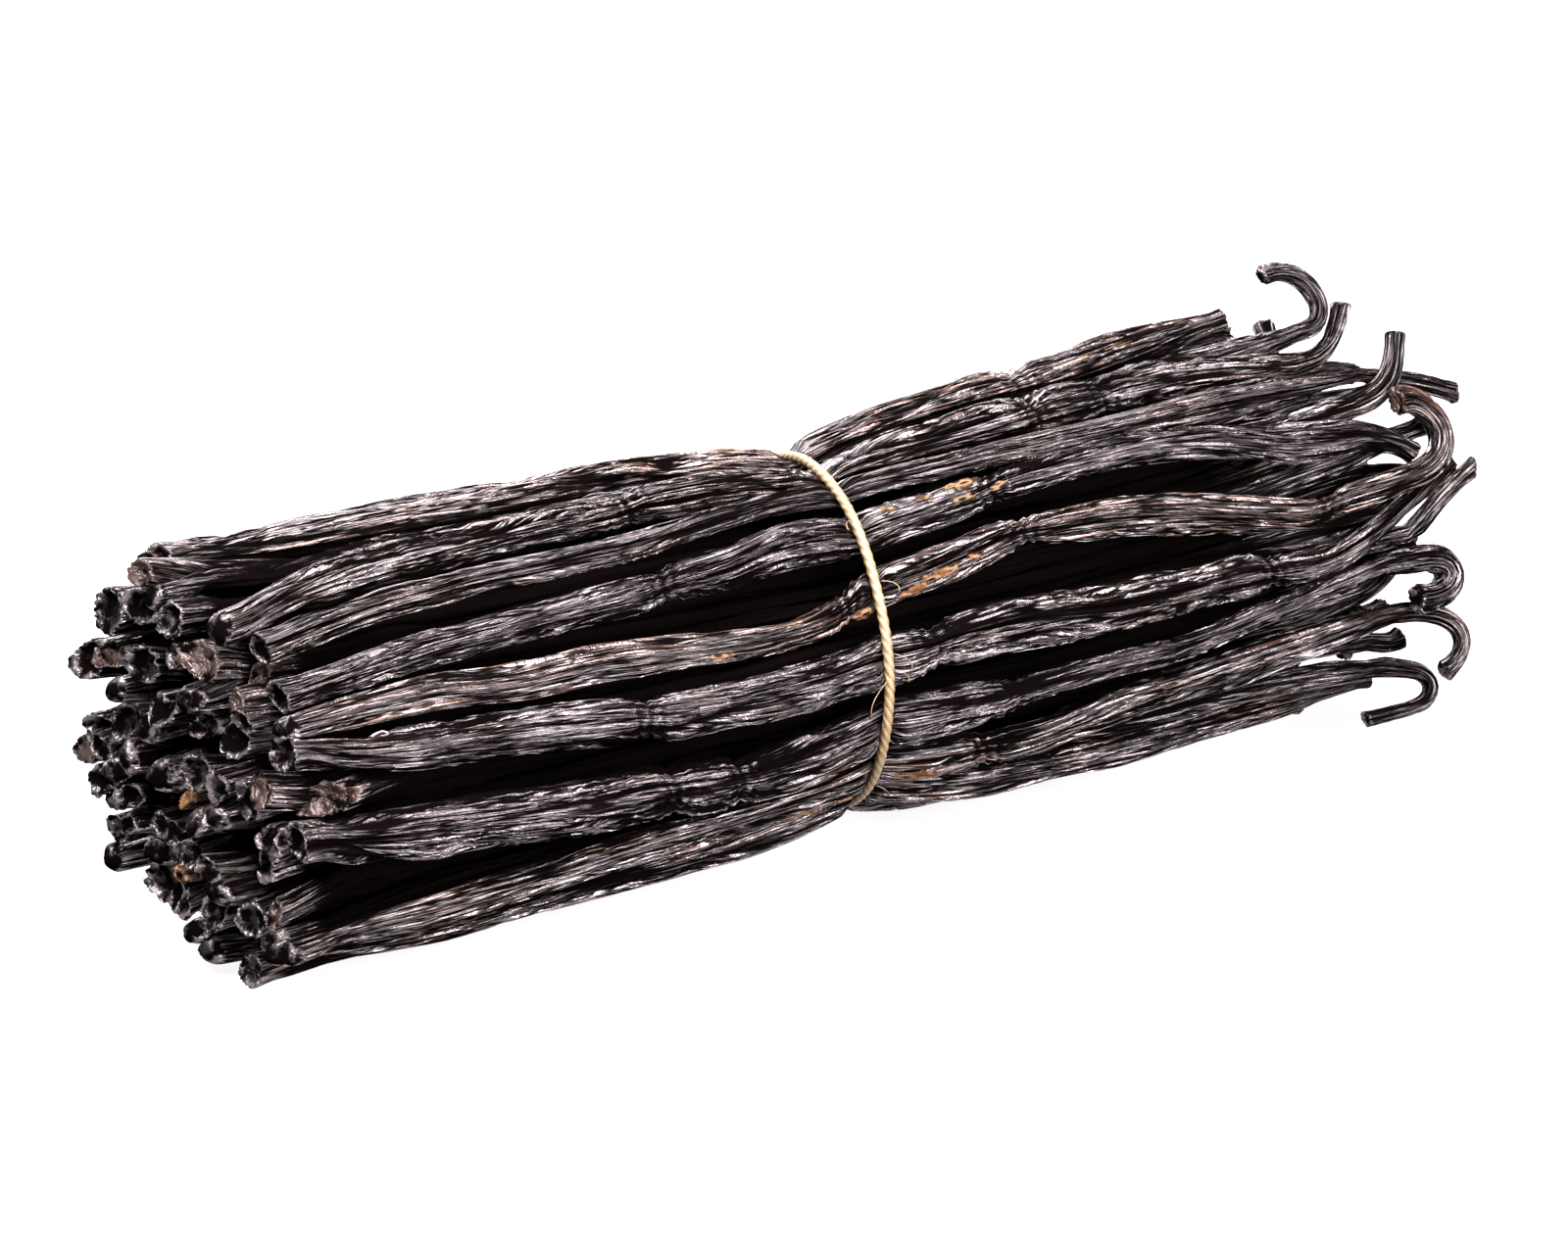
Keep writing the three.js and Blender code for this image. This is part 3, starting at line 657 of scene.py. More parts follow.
# The furrows: depth in millimetres and width of the hollow, then darkness and width of the painted shade
# line.
FURROWS = {"broad": (0.75, 0.35, 0.9, 0.24), "narrow": (0.5, 0.45, 0.7, 0.26)}
# The wide folds: width, depth and painted shade. Then the lumps' depth, and the depth and painted shade of
# the cross wrinkles on crumpled skin.
FOLD_WIDTH, FOLD_DEPTH, FOLD_SHADE = 0.12, 0.8, 0.9
LUMP_DEPTH = 0.25
CRINKLE_DEPTH, CRINKLE_SHADE = 0.5, 0.4
# How deep furrows are on a pod of another half width, and how much shallower they are at the tip.
FURROW_HALF_WIDTH, FURROW_POWER = 3.4, 0.7
TIP_SMOOTHNESS = 0.5
STALK_DARKNESS = 0.3
# A scar: its edge as a share of its ellipse, how ragged and how soft the edge is, how much it fills
# the furrows and how far it rises.
SCAR_EDGE, SCAR_RAGGED, SCAR_RAGGED_LENGTH, SCAR_SOFTNESS = 1.15, 0.3, 0.9, 0.4
SCAR_FILLS, SCAR_RISES = 0.75, 0.1
# Painted shade between pressed pods: from what depth, from where behind the tip, and up to where.
GAP_SHADE_DEPTH, GAP_SHADE_OVER = 1.7, 2.6
GAP_SHADE_TIP, GAP_SHADE_TIP_OVER = 1.5, 4
GAP_SHADE_STEM, GAP_SHADE_STEM_OVER, GAP_SHADE_STEM_LOSS = 50, 12, 0.5
# The rings that close a blossom end: their share of its radius, and their place in a cup, which is a
# share of its depth where it is negative and millimetres above the body's end where it is positive.
FACE_SHARES = np.array([0.04, 0.2, 0.38, 0.55, 0.7, 0.82, 0.91, 0.97])
CUP_RINGS = np.array([-1.0, -0.97, -0.85, -0.6, -0.25, 0.1, 0.3, 0.24])
CUP_HALF_WIDTH = 2.2
DOME_HEIGHT = 0.75
FACE_CRUMPLE = 0.16
# How much painted shade darkens the inside of a blossom end, from its rim to its middle, and how far
# its stain and the stain of a stalk's end reach along the pod.
RIM_SHADE, MIDDLE_SHADE = 0.05, 0.8
TIP_STAIN, FOOT_STAIN = 1.2, 3.0
# The rings that close a stalk: millimetres past its end, and share of its radius.
FOOT_RINGS = np.array([(0.25, 0.96), (0.42, 0.82), (0.3, 0.6), (0.15, 0.3), (0.1, 0.05)])
# The map: the girth that it gives every pod, the step between closing rings, and the step between
# pods, which keeps their patterns apart.
POD_GIRTH = 21.4
RING_STEP = 0.4
POD_STEP = 400


def smooth(value):
    """A smooth step from 0 to 1: 3t^2 - 2t^3 of the clipped value."""
    t = np.clip(value, 0, 1)
    return t * t * (3 - 2 * t)


def bell(distance, length):
    """1 at no distance, falling as a bell curve: e to the power of -(distance / length)^2."""
    return np.exp(-(distance / length) ** 2)


def averaged(values, count):
    """A running average over so many values, weighted by a raised cosine."""
    weights = np.hanning(count)
    return np.convolve(np.pad(values, count // 2, mode="edge"), weights / weights.sum(), mode="valid")


def grain(around, lengthwise, columns, seed):
    """Smooth noise from -1 to 1 on a lattice of random numbers, blended by smooth steps. around counts
    lattice columns and closes on itself after `columns`; lengthwise counts lattice rows."""
    rows = 211
    lattice = np.random.default_rng(seed).uniform(-1, 1, (rows, columns))
    column, row = np.floor(around).astype(int), np.floor(lengthwise).astype(int)
    sideways, down = smooth(around - column), smooth(lengthwise - row)

    def blended(row):
        """One lattice row, blended between its two nearest columns."""
        near, far = lattice[row % rows, column % columns], lattice[row % rows, (column + 1) % columns]
        return near * (1 - sideways) + far * sideways

    return blended(row) * (1 - down) + blended(row + 1) * down


def wander(x, length, seed):
    """Smooth noise along a line, from -1 to 1, that varies over about `length` millimetres."""
    return grain(np.zeros_like(x), x / length + 60, 1, seed)


def on_grid(table, x):
    """A row of a table over GRID, read at x by straight lines between its columns."""
    return np.interp(x, GRID, table)


for index, one in enumerate(pods):
    draws = np.random.default_rng(40 + index)
    one.thickness = draws.uniform(*FLATNESS)
    one.twist = draws.uniform(-TURNED, TURNED)
    one.cup = draws.uniform(*CUPPED)
    lean = FACE_LEAN * across(VIEWED_FROM - one.track[0][1]) + draws.uniform(-LEANING, LEANING, 2)
    one.slant = lean if one.slant is None else one.slant
    one.dome, one.pinch, one.face_tan = FACES[one.face]
    one.pinch_turn = draws.uniform(0, 2 * np.pi)
    one.snaking = draws.uniform(-SNAKING, SNAKING, 2) * (OUTER_SNAKING if is_outer[index] else 1)
    places, turns, widths = zip(*one.track)
    one.turns = averaged(np.interp(GRID, places, turns), GRID_ROUNDING)
    one.widths = averaged(np.interp(GRID, places, widths), GRID_ROUNDING)

# Where the inner pods' centres lie across the bundle at each of the END_PLACES.
inner_spots = np.array([one.spot for one in pods[outer_count:]])
end_centres = [spread(inner_spots, limit) if limit else inner_spots for limit in CROWD_LIMITS]


def centre_line(index):
    """Centre (y, z) of a pod from the bundle's middle line over GRID. An outer pod follows its angle at
    its depth below the outline, and jogs where it was folded. An inner one runs between its places at the
    three ends, scaled with the outline. Both wander a little and snake just behind the blossom tip."""
    one = pods[index]
    if is_outer[index]:
        turn = one.turns + TURN_WANDER * wander(GRID, TURN_WANDER_LENGTH, 500 + index)
        for number, kink in enumerate(one.kinks):
            jog = KINK_JOG * np.sign(scatter(index * 7 + number))
            turn = turn + jog * np.tanh((GRID - kink) / KINK_JOG_LENGTH)
        depth = along(one.depths, GRID, OUTER_POWER) + one.widths / 2 * THICKNESS_SHARE + SINK
        depth = depth - DEPTH_WANDER * wander(GRID, DEPTH_WANDER_LENGTH, 600 + index)
        centre = (outline_radius(GRID) - depth) * across(turn)
    else:
        shares = [
            centres[index - outer_count] / outline_radius(x) for centres, x in zip(end_centres, END_PLACES)]
        centre = np.array([
            outline_radius(GRID) * along([share[axis] for share in shares], GRID, INNER_POWER)
            + INNER_WANDER * wander(GRID, INNER_WANDER_LENGTH, 700 + 2 * index + axis)
            for axis in (0, 1)
        ])
    snake = np.sin(np.pi * np.clip((GRID - one.span[0]) / SNAKING_LENGTH, 0, 1))
    return centre + one.snaking[:, None] * snake


def half_width(index, x, beyond=0):
    """Half width of a pod at x, or at a distance beyond the end of its body: the width of its track,
    slowly swelling and shrinking, with a lip at the blossom end, squeezed at the waist and at each fold,
    and a long taper into the stalk."""
    one = pods[index]
    inside = x - one.span[0]
    lip = LIP * bell(inside, LIP_LENGTH) - NECK * bell(inside - NECK_AT, NECK_LENGTH)
    uneven = 1 + sum(share * wander(x, length, seed + index) for share, length, seed in SWELLINGS)
    full = on_grid(one.widths, x) / 2 * (uneven + lip * (1 - one.dome))
    if not is_outer[index]:
        full = full * (1 - WAIST_SQUEEZE * bell(x, WAIST_SQUEEZE_LENGTH))
    for kink in one.kinks:
        full = full * (1 - KINK_SQUEEZE * bell(x - kink, KINK_LENGTH))
    share = smooth((one.span[1] - x - beyond + one.thin) / STALK_TAPER)
    return one.foot + (full - one.foot) * share


grid_y, grid_z = np.stack([centre_line(index) for index in range(len(pods))], axis=1)
grid_size = np.stack([half_width(index, GRID) * (1 + one.thickness) / 2 for index, one in enumerate(pods)])
grid_turn = np.where(
    is_outer[:, None],
    np.unwrap(np.arctan2(grid_z, grid_y)),
    np.radians([[one.track[0][1]] for one in pods]),
)


def own_radius(index, theta, path, half, at_tip):
    """A pod's own radius in each direction theta: an ellipse that turns slowly along the pod, a little
    three-cornered, and folded in on one side at the blossom tip. The thin stalk is round."""
    one = pods[index]
    twist = np.radians(one.twist + SECTION_TURN * wander(path, SECTION_TURN_LENGTH, 1000 + index))
    flat = 1 - (1 - one.thickness) * smooth((half - ROUND_UP_TO) / FLAT_OVER)
    inverse = (np.cos(theta - twist) / (half * flat)) ** 2 + (np.sin(theta - twist) / half) ** 2
    cornered = 1 + CORNERED * np.cos(3 * (theta - 2 * twist))
    folded = 1 - one.pinch * at_tip * np.maximum(np.cos(theta - one.pinch_turn), 0) ** 2
    return inverse ** -0.5 * cornered * folded


def pressed_radius(index, x, theta, own):
    """Distance from a pod's centre to its skin in each direction theta, at each x. The pod's own section,
    the walls half-way to each neighbour, the floor and the string are joined by a soft minimum: one over
    the HARDNESS root of the sum of 1 / distance ** HARDNESS."""
    def pressing(cosine, wall):
        """What a flat wall adds to that sum, in directions at a cosine to its normal."""
        return (np.maximum(cosine, 0) / wall[:, None]) ** HARDNESS

    total = own ** -HARDNESS
    turn = on_grid(grid_turn[index], x)
    size = on_grid(grid_size[index], x)
    own_y, own_z = on_grid(grid_y[index], x), on_grid(grid_z[index], x)
    near = np.hypot(grid_y - grid_y[index], grid_z - grid_z[index]).min(1) < NEIGHBOUR_REACH
    near[index] = False
    for other in np.flatnonzero(near):
        gap_y = on_grid(grid_y[other], x) - own_y
        gap_z = on_grid(grid_z[other], x) - own_z
        distance = np.maximum(np.hypot(gap_y, gap_z), 1)
        other_size = on_grid(grid_size[other], x)
        wall = (distance ** 2 + size ** 2 - other_size ** 2) / (2 * distance) - CONTACT_GAP / 2
        first, last = pods[other].span
        past_end = np.maximum(first - x, 0) + np.maximum(x - last - pods[other].thin, 0)
        wall = np.maximum(wall, NEAREST_WALL) + WALL_GIVES_WAY * past_end
        total = total + pressing(np.cos(theta - (np.arctan2(gap_z, gap_y) - turn)[:, None]), wall)
    total = total + pressing(-np.sin(theta + turn[:, None]), np.maximum(own_z + AXIS_HEIGHT, NEAREST_WALL))
    if is_outer[index]:
        bite = STRING_BITE_DEPTH * (1 - bell(x - string_lean(np.degrees(turn)), STRING_BITE_LENGTH))
        room = STRING_FLOOR + bite + STRING_FLOOR_WIDENS * x ** 2 - np.hypot(own_y, own_z)
        total = total + pressing(np.cos(theta), np.maximum(room, NEAREST_WALL))
    return total ** (-1 / HARDNESS)


def furrow_depth(index, theta, path, scale):
    """How deep the skin lies below its ridges, in millimetres, and how much painted shade darkens it there,
    from 0 to 1. Furrows run where stretched noise crosses zero: a few wide folds, then broad and narrow
    ones, all bent by slower noise. A crumpled skin has short cross wrinkles, and each kink has folds across
    it, a bent cosine wave inside a bell."""
    crumple = pods[index].crinkle
    turn = (theta / (2 * np.pi)) % 1

    def noise(name):
        """One kind of noise over the skin, from -1 to 1."""
        columns, length, seed = SKIN_NOISE[name]
        return grain(turn * columns, path / length, columns, 2000 + 10 * index + seed)

    shift = 0
    for name, (plain, crumpled) in BENDS.items():
        shift = shift + (plain + crumpled * crumple) * noise(name)
    turn = turn + shift + RAGGED_BEND * crumple * noise("ragged bend")

    folds = bell(noise("fold"), FOLD_WIDTH)
    crinkle = np.maximum(noise("crinkle"), 0) * np.clip(0.5 + 0.9 * noise("crumpled patch"), 0, 1) * crumple
    depth = FOLD_DEPTH * folds + LUMP_DEPTH * (1 - noise("lump")) + CRINKLE_DEPTH * crinkle
    furrow = FOLD_SHADE * folds + CRINKLE_SHADE * crinkle
    for name, (deepest, width, shade_most, shade_width) in FURROWS.items():
        off_line = np.abs(noise(name))
        depth = depth + deepest * (1 - smooth(off_line / width))
        furrow = furrow + shade_most * (1 - smooth(off_line / shade_width))
    depth, furrow = depth * scale, np.clip(furrow, 0, 1)
    for kink in pods[index].kinks:
        waves = np.cos(2 * np.pi * (path - kink) / KINK_FOLD_PITCH + KINK_FOLD_BEND * np.sin(3 * theta))
        crossed = bell(path - kink, KINK_FOLD_LENGTH) * (0.5 + 0.5 * waves)
        depth = depth + KINK_FOLD_DEPTH * crossed
        furrow = np.clip(furrow + KINK_SHADE * crossed, 0, 1)
    return depth, furrow


def corkiness(one, theta, path, half):
    """How corky the skin is, from 0 to 1. Each scar is an ellipse on the skin with a ragged edge."""
    cork = np.zeros(np.broadcast_shapes(theta.shape, path.shape))
    for number, (place, facing_way, length, breadth) in enumerate(one.scars):
        sideways = np.angle(np.exp(1j * (theta - np.radians(facing_way)))) * half
        edge = SCAR_EDGE + SCAR_RAGGED * grain(theta * 3, path / SCAR_RAGGED_LENGTH, 20, 3000 + number)
        inside = edge - np.hypot((path - place) / length, sideways / breadth)
        cork = np.maximum(cork, smooth(inside / SCAR_SOFTNESS))
    return cork


def gap_shade(path, first, distance):
    """How much painted shade darkens the skin where pods press together, from 0 to 1: it grows with the
    depth below the outline, starts behind the blossom tip and is weaker between the loose stalks."""
    below = outline_radius(path) - distance
    from_tip = smooth((path - first - GAP_SHADE_TIP) / GAP_SHADE_TIP_OVER)
    at_stem = 1 - GAP_SHADE_STEM_LOSS * smooth((path - GAP_SHADE_STEM) / GAP_SHADE_STEM_OVER)
    return smooth((below - GAP_SHADE_DEPTH) / GAP_SHADE_OVER) * from_tip * at_stem


def rows_between(first, last, spacing, marks):
    """Places from first to last, about `spacing` apart and denser round the marks: the running sum of the
    wanted density, read at whole numbers."""
    x = np.linspace(first, last, ROW_TRIALS)
    density = np.interp(x, *spacing) ** -1 + sum(bell(x - mark, DENSE_LENGTH) for mark in marks)
    count = np.concatenate([[0], np.cumsum((density[1:] + density[:-1]) / 2 * np.diff(x))])
    return np.interp(np.linspace(0, count[-1], int(count[-1]) + 2), count, x)


def stalk_line(one, reach):
    """How far forward and aside a stalk has gone, and how far it has turned, at each reach past the body:
    the running sums of the cosine and sine of its heading, and the heading from its first value. Each is
    a column."""
    fine = np.linspace(0, one.way[-1][0], STALK_STEPS)
    heading = averaged(np.radians(np.interp(fine, *zip(*one.way))), STALK_ROUNDING)
    forth = np.cumsum(np.cos(heading)) * fine[1]
    aside = np.cumsum(np.sin(heading)) * fine[1]
    return (np.interp(reach, fine, values - values[0])[:, None] for values in (forth, aside, heading))


def row_frames(index, x, beyond):
    """Each row's centre, its own outward and sideways directions, and the way ahead. The body's rows stand
    square to X. The stalk bends in one plane, from the body's own direction towards its angle, and turns
    its rows with it."""
    one = pods[index]
    turn = on_grid(grid_turn[index], x)
    none = np.zeros_like(turn)
    out = np.column_stack([none, np.cos(turn), np.sin(turn)])
    side = np.column_stack([none, -np.sin(turn), np.cos(turn)])
    ahead = np.tile([1.0, 0, 0], (len(x), 1))
    centre = np.column_stack([
        x, on_grid(grid_y[index], x) + bow(x), on_grid(grid_z[index], x) + AXIS_HEIGHT])

    base = len(x) - len(beyond)
    onward = centre[base - 1] - centre[base - 4]
    onward /= np.linalg.norm(onward)
    bend_side = np.array([0, *across(one.towards)])
    bend_side -= (bend_side @ onward) * onward
    bend_side /= np.linalg.norm(bend_side)
    level = np.cross(onward, bend_side)
    forth, aside, turned = stalk_line(one, beyond)
    centre[base:] = centre[base - 1] + forth * onward + aside * bend_side
    ahead[base:] = np.cos(turned) * onward + np.sin(turned) * bend_side
    turned_side = np.cos(turned) * bend_side - np.sin(turned) * onward
    for vectors in (out, side):
        vectors[base:] = (vectors[base - 1] @ bend_side) * turned_side + (vectors[base - 1] @ level) * level
    return centre, out, side, ahead


def face_offsets(one, theta, size, seed):
    """How far the rings of a blossom end stand out along the pod: a cup inside a rim, or a dome, both
    crumpled by noise."""
    shares = FACE_SHARES[:, None]
    cup = np.where(CUP_RINGS < 0, CUP_RINGS * one.cup * size / CUP_HALF_WIDTH, CUP_RINGS)[:, None]
    dome = DOME_HEIGHT * size * np.sqrt(1 - shares ** 2)
    crumpled = grain(theta / (2 * np.pi) * 4 + 1.5 * shares, shares * 2 + 20, 4, seed)
    return cup * (1 - one.dome) + dome * one.dome + FACE_CRUMPLE * crumpled * (1 - shares ** 4)


def gridded(*parts):
    """Arrays of rows and columns that fit each other, stacked as the coordinates of each point."""
    return np.stack(np.broadcast_arrays(*parts), axis=2)


def fanned(theta, out, side):
    """The direction of each column from its row's centre, between the row's outward and sideways ones."""
    return np.cos(theta)[..., None] * out[:, None] + np.sin(theta)[..., None] * side[:, None]


@dataclass
class Tube:
    """A surface as a grid of rows along it and columns round it, whose columns close on themselves."""

    points: np.ndarray
    # Each point's place on the map: its distances along and round. girth: the map's whole way round.
    lay: np.ndarray
    girth: float
    # Numbers for each point, by name.
    marks: dict
    # Whether its rows close on themselves too.
    closed: bool = False


def pod_surface(index, columns, crowding, spacing, stalk_step):
    """The surface of one pod, in millimetres, with its marks. Rows go from the bottom of the cup in the
    blossom tip over its rim, along the body and round the bends of the stalk to its foot. Each point is
    its row's centre and the pressed radius in its direction. crowding draws the columns to the outer
    side, and spacing is that of the rows at the tip, behind it, in the middle and at the end."""
    one = pods[index]
    first, last = one.span
    dense = list(one.kinks) + [scar[0] for scar in one.scars] * 2
    body = rows_between(first, last, ([first, first + 8, (first + last) / 2, last], spacing), dense)
    reach_end = one.way[-1][0]
    beyond = np.arange(stalk_step, reach_end + 0.01, stalk_step)
    x = np.concatenate([body, np.full(len(beyond), last)])
    reach = np.concatenate([np.zeros(len(body)), beyond])[:, None]
    path = x[:, None] + reach
    even = np.linspace(-np.pi, np.pi, columns, endpoint=False)
    theta = (even - crowding * np.sin(even))[None]

    half = half_width(index, x, reach[:, 0])[:, None]
    at_tip = 1 - smooth((path - first) / TIP_LENGTH)
    on_stalk = smooth(reach / PRESSED_STALK)
    own = own_radius(index, theta, path, half, at_tip)
    outer = pressed_radius(index, x, theta, own) * (1 - on_stalk) + own * on_stalk

    scale = (half / FURROW_HALF_WIDTH) ** FURROW_POWER * (1 - TIP_SMOOTHNESS * at_tip)
    depth, furrow = furrow_depth(index, theta, path, scale)
    cork = corkiness(one, theta, path, half)
    outer = np.maximum(outer - depth * (1 - SCAR_FILLS * cork) + SCAR_RISES * cork, LEAST_RADIUS)
    furrow = furrow * (1 - cork)
    furrow = furrow + STALK_DARKNESS * on_stalk * (1 - furrow)
    from_axis = np.hypot(on_grid(grid_y[index], x), on_grid(grid_z[index], x))[:, None]
    # Painted shade darkens the skin between pressed pods, the deeper the darker.
    furrow = np.maximum(furrow, gap_shade(path, first, from_axis + outer * np.cos(theta)))
    outer = outer * (1 + FOOT_FLARE * bell(reach_end - reach, FOOT_FLARE_LENGTH))

    centre, out, side, ahead = row_frames(index, x, beyond)
    radial = fanned(theta, out, side)
    lean = (one.slant[0] * np.cos(theta) + one.slant[1] * np.sin(theta)) * outer[0]
    points = centre[:, None] + outer[..., None] * radial + (at_tip * lean)[..., None] * ahead[:, None]

    def end_rings(row, offsets, shares, leaning):
        """Extra rings that close an end: the end's own ring moved along the pod and scaled down."""
        spokes = shares * (outer[row].mean() + (outer[row] - outer[row].mean()) * shares ** 3)
        shift = offsets + leaning * shares
        return centre[row] + spokes[..., None] * radial[row] + shift[..., None] * ahead[row]

    tip_rows = end_rings(0, -face_offsets(one, theta, half[0], 5000 + index), FACE_SHARES[:, None], lean)
    foot_rows = end_rings(-1, FOOT_RINGS[:, :1], FOOT_RINGS[:, 1:], 0)
    points = np.concatenate([tip_rows, points, foot_rows])
    points[..., 2] = np.maximum(points[..., 2], LEAST_HEIGHT)

    def with_ends(values, tip_value, foot_value):
        """A mark over all rows: its values on the body and stalk, and plain ones on the closing rings."""
        return np.concatenate([
            np.broadcast_to(tip_value, (len(tip_rows), columns)),
            np.broadcast_to(values, outer.shape),
            np.broadcast_to(foot_value, (len(foot_rows), columns)),
        ])

    # Painted shade darkens the cup of a blossom end from its rim towards its middle.
    inner_face = 1 - smooth((FACE_SHARES[:, None] - 0.6) / 0.35)
    face_shade = RIM_SHADE + (MIDDLE_SHADE - RIM_SHADE) * inner_face
    near_tip = bell(path - first, TIP_STAIN)
    near_foot = bell(reach_end + last - path, FOOT_STAIN)
    tan = one.tan + (one.face_tan - one.tan) * near_tip + (one.stub - one.tan) * near_foot
    run = np.concatenate([
        first - RING_STEP * np.arange(len(tip_rows), 0, -1),
        path[:, 0],
        path[-1] + RING_STEP * np.arange(1, len(foot_rows) + 1),
    ])
    return Tube(
        points=points + FRAME_SHIFT,
        lay=gridded(run[:, None] + POD_STEP * index, even[None] / (2 * np.pi) * POD_GIRTH),
        girth=POD_GIRTH,
        marks={
            # This mark carries painted shade in furrows, gaps and blossom cups, and the darker stalks.
            "furrow": with_ends(furrow, face_shade, STALK_DARKNESS),
            "scar": with_ends(np.maximum(near_tip, near_foot), 1, 1),
            "tan": with_ends(tan, one.face_tan, one.stub),
            "crinkle": with_ends(one.crinkle, one.crinkle, one.crinkle),
            "face": with_ends(0, 1, 1),
            "cork": with_ends(cork, 0, 0),
        },
    )


def tube_mesh(name, tubes, material):
    """One mesh of several tubes. A tube ends in a flat face at either end, or closes on itself. The map
    `lay` holds the distances along and round."""
    points, corners, sizes, lay, marks, start = [], [], [], [], {}, 0
    for tube in tubes:
        rows, columns = tube.points.shape[:2]
        number = start + np.arange(rows * columns).reshape(rows, columns)
        place = np.concatenate([tube.lay, tube.lay[:, :1] + [0, tube.girth]], axis=1)
        beside = np.roll(number, -1, axis=1)
        if tube.closed:
            near, ahead, far_beside = number, np.roll(number, -1, axis=0), np.roll(beside, -1, axis=0)
            here, far = place, np.concatenate([place[1:], place[-1:] * 2 - place[-2:-1]])
        else:
            near, ahead, far_beside, beside = number[:-1], number[1:], beside[1:], beside[:-1]
            here, far = place[:-1], place[1:]
            corners += [number[0, ::-1], number[-1]]
            lay += [tube.lay[0, ::-1], tube.lay[-1]]
            sizes.append(np.full(2, columns))
        corners.append(np.stack([near, beside, far_beside, ahead], axis=2).ravel())
        lay.append(np.stack([here[:, :-1], here[:, 1:], far[:, 1:], far[:, :-1]], axis=2).reshape(-1, 2))
        sizes.append(np.full(near.size, 4))
        points.append(tube.points.reshape(-1, 3))
        for mark, values in tube.marks.items():
            marks.setdefault(mark, []).append(values.reshape(-1))
        start += rows * columns
    corners, sizes, lay, points = (np.concatenate(parts) for parts in (corners, sizes, lay, points))
    mesh = bpy.data.meshes.new(name)
    mesh.vertices.add(len(points))
    mesh.vertices.foreach_set("co", (points * MM).astype(np.float32).ravel())
    mesh.loops.add(len(corners))
    mesh.loops.foreach_set("vertex_index", corners.astype(np.int32))
    mesh.polygons.add(len(sizes))
    mesh.polygons.foreach_set("loop_start", (np.cumsum(sizes) - sizes).astype(np.int32))
    mesh.uv_layers.new(name="lay").data.foreach_set("uv", (lay * MM).astype(np.float32).ravel())
    for mark, values in marks.items():
        values = np.concatenate(values).astype(np.float32)
        mesh.attributes.new(mark, "FLOAT", "POINT").data.foreach_set("value", values)
    mesh.update(calc_edges=True)
    mesh.validate()
    mesh.shade_smooth()
    mesh.materials.append(material)
    return added(name, mesh)


# The skin's colours, from the painted shade at the bottom of a wrinkle to its ridges, and its stains.
PAINTED_WRINKLE_SHADE = (0.001, 0.0006, 0.0006, 1)
RIDGE_BLACK = (0.006, 0.0038, 0.0039, 1)
RUST = (0.065, 0.028, 0.012, 1)
STREAK = (0.2, 0.09, 0.025, 1)
SHEEN = (1, 0.9, 0.925, 1)
# The matte black of painted shade in furrows, fine wrinkles and the gaps between pods.
PAINTED_SHADE_BLACK = (0.0006, 0.0004, 0.0004, 1)
# Brown blossom scars and stalk ends, and the two that are golden.
END_BROWN = (0.0085, 0.0038, 0.002, 1)
END_GOLD = (0.06, 0.026, 0.0035, 1)
# Corky bark: its pores, its body on a dark and on a tan pod, its raised rims and their pits.
BARK_PORE = (0.008, 0.0035, 0.0015, 1)
BARK_DARK = (0.005, 0.0026, 0.0016, 1)
BARK_AMBER = (0.042, 0.0165, 0.003, 1)
BARK_RIM = (0.056, 0.034, 0.019, 1)
BARK_PIT = (0.0005, 0.0003, 0.0002, 1)


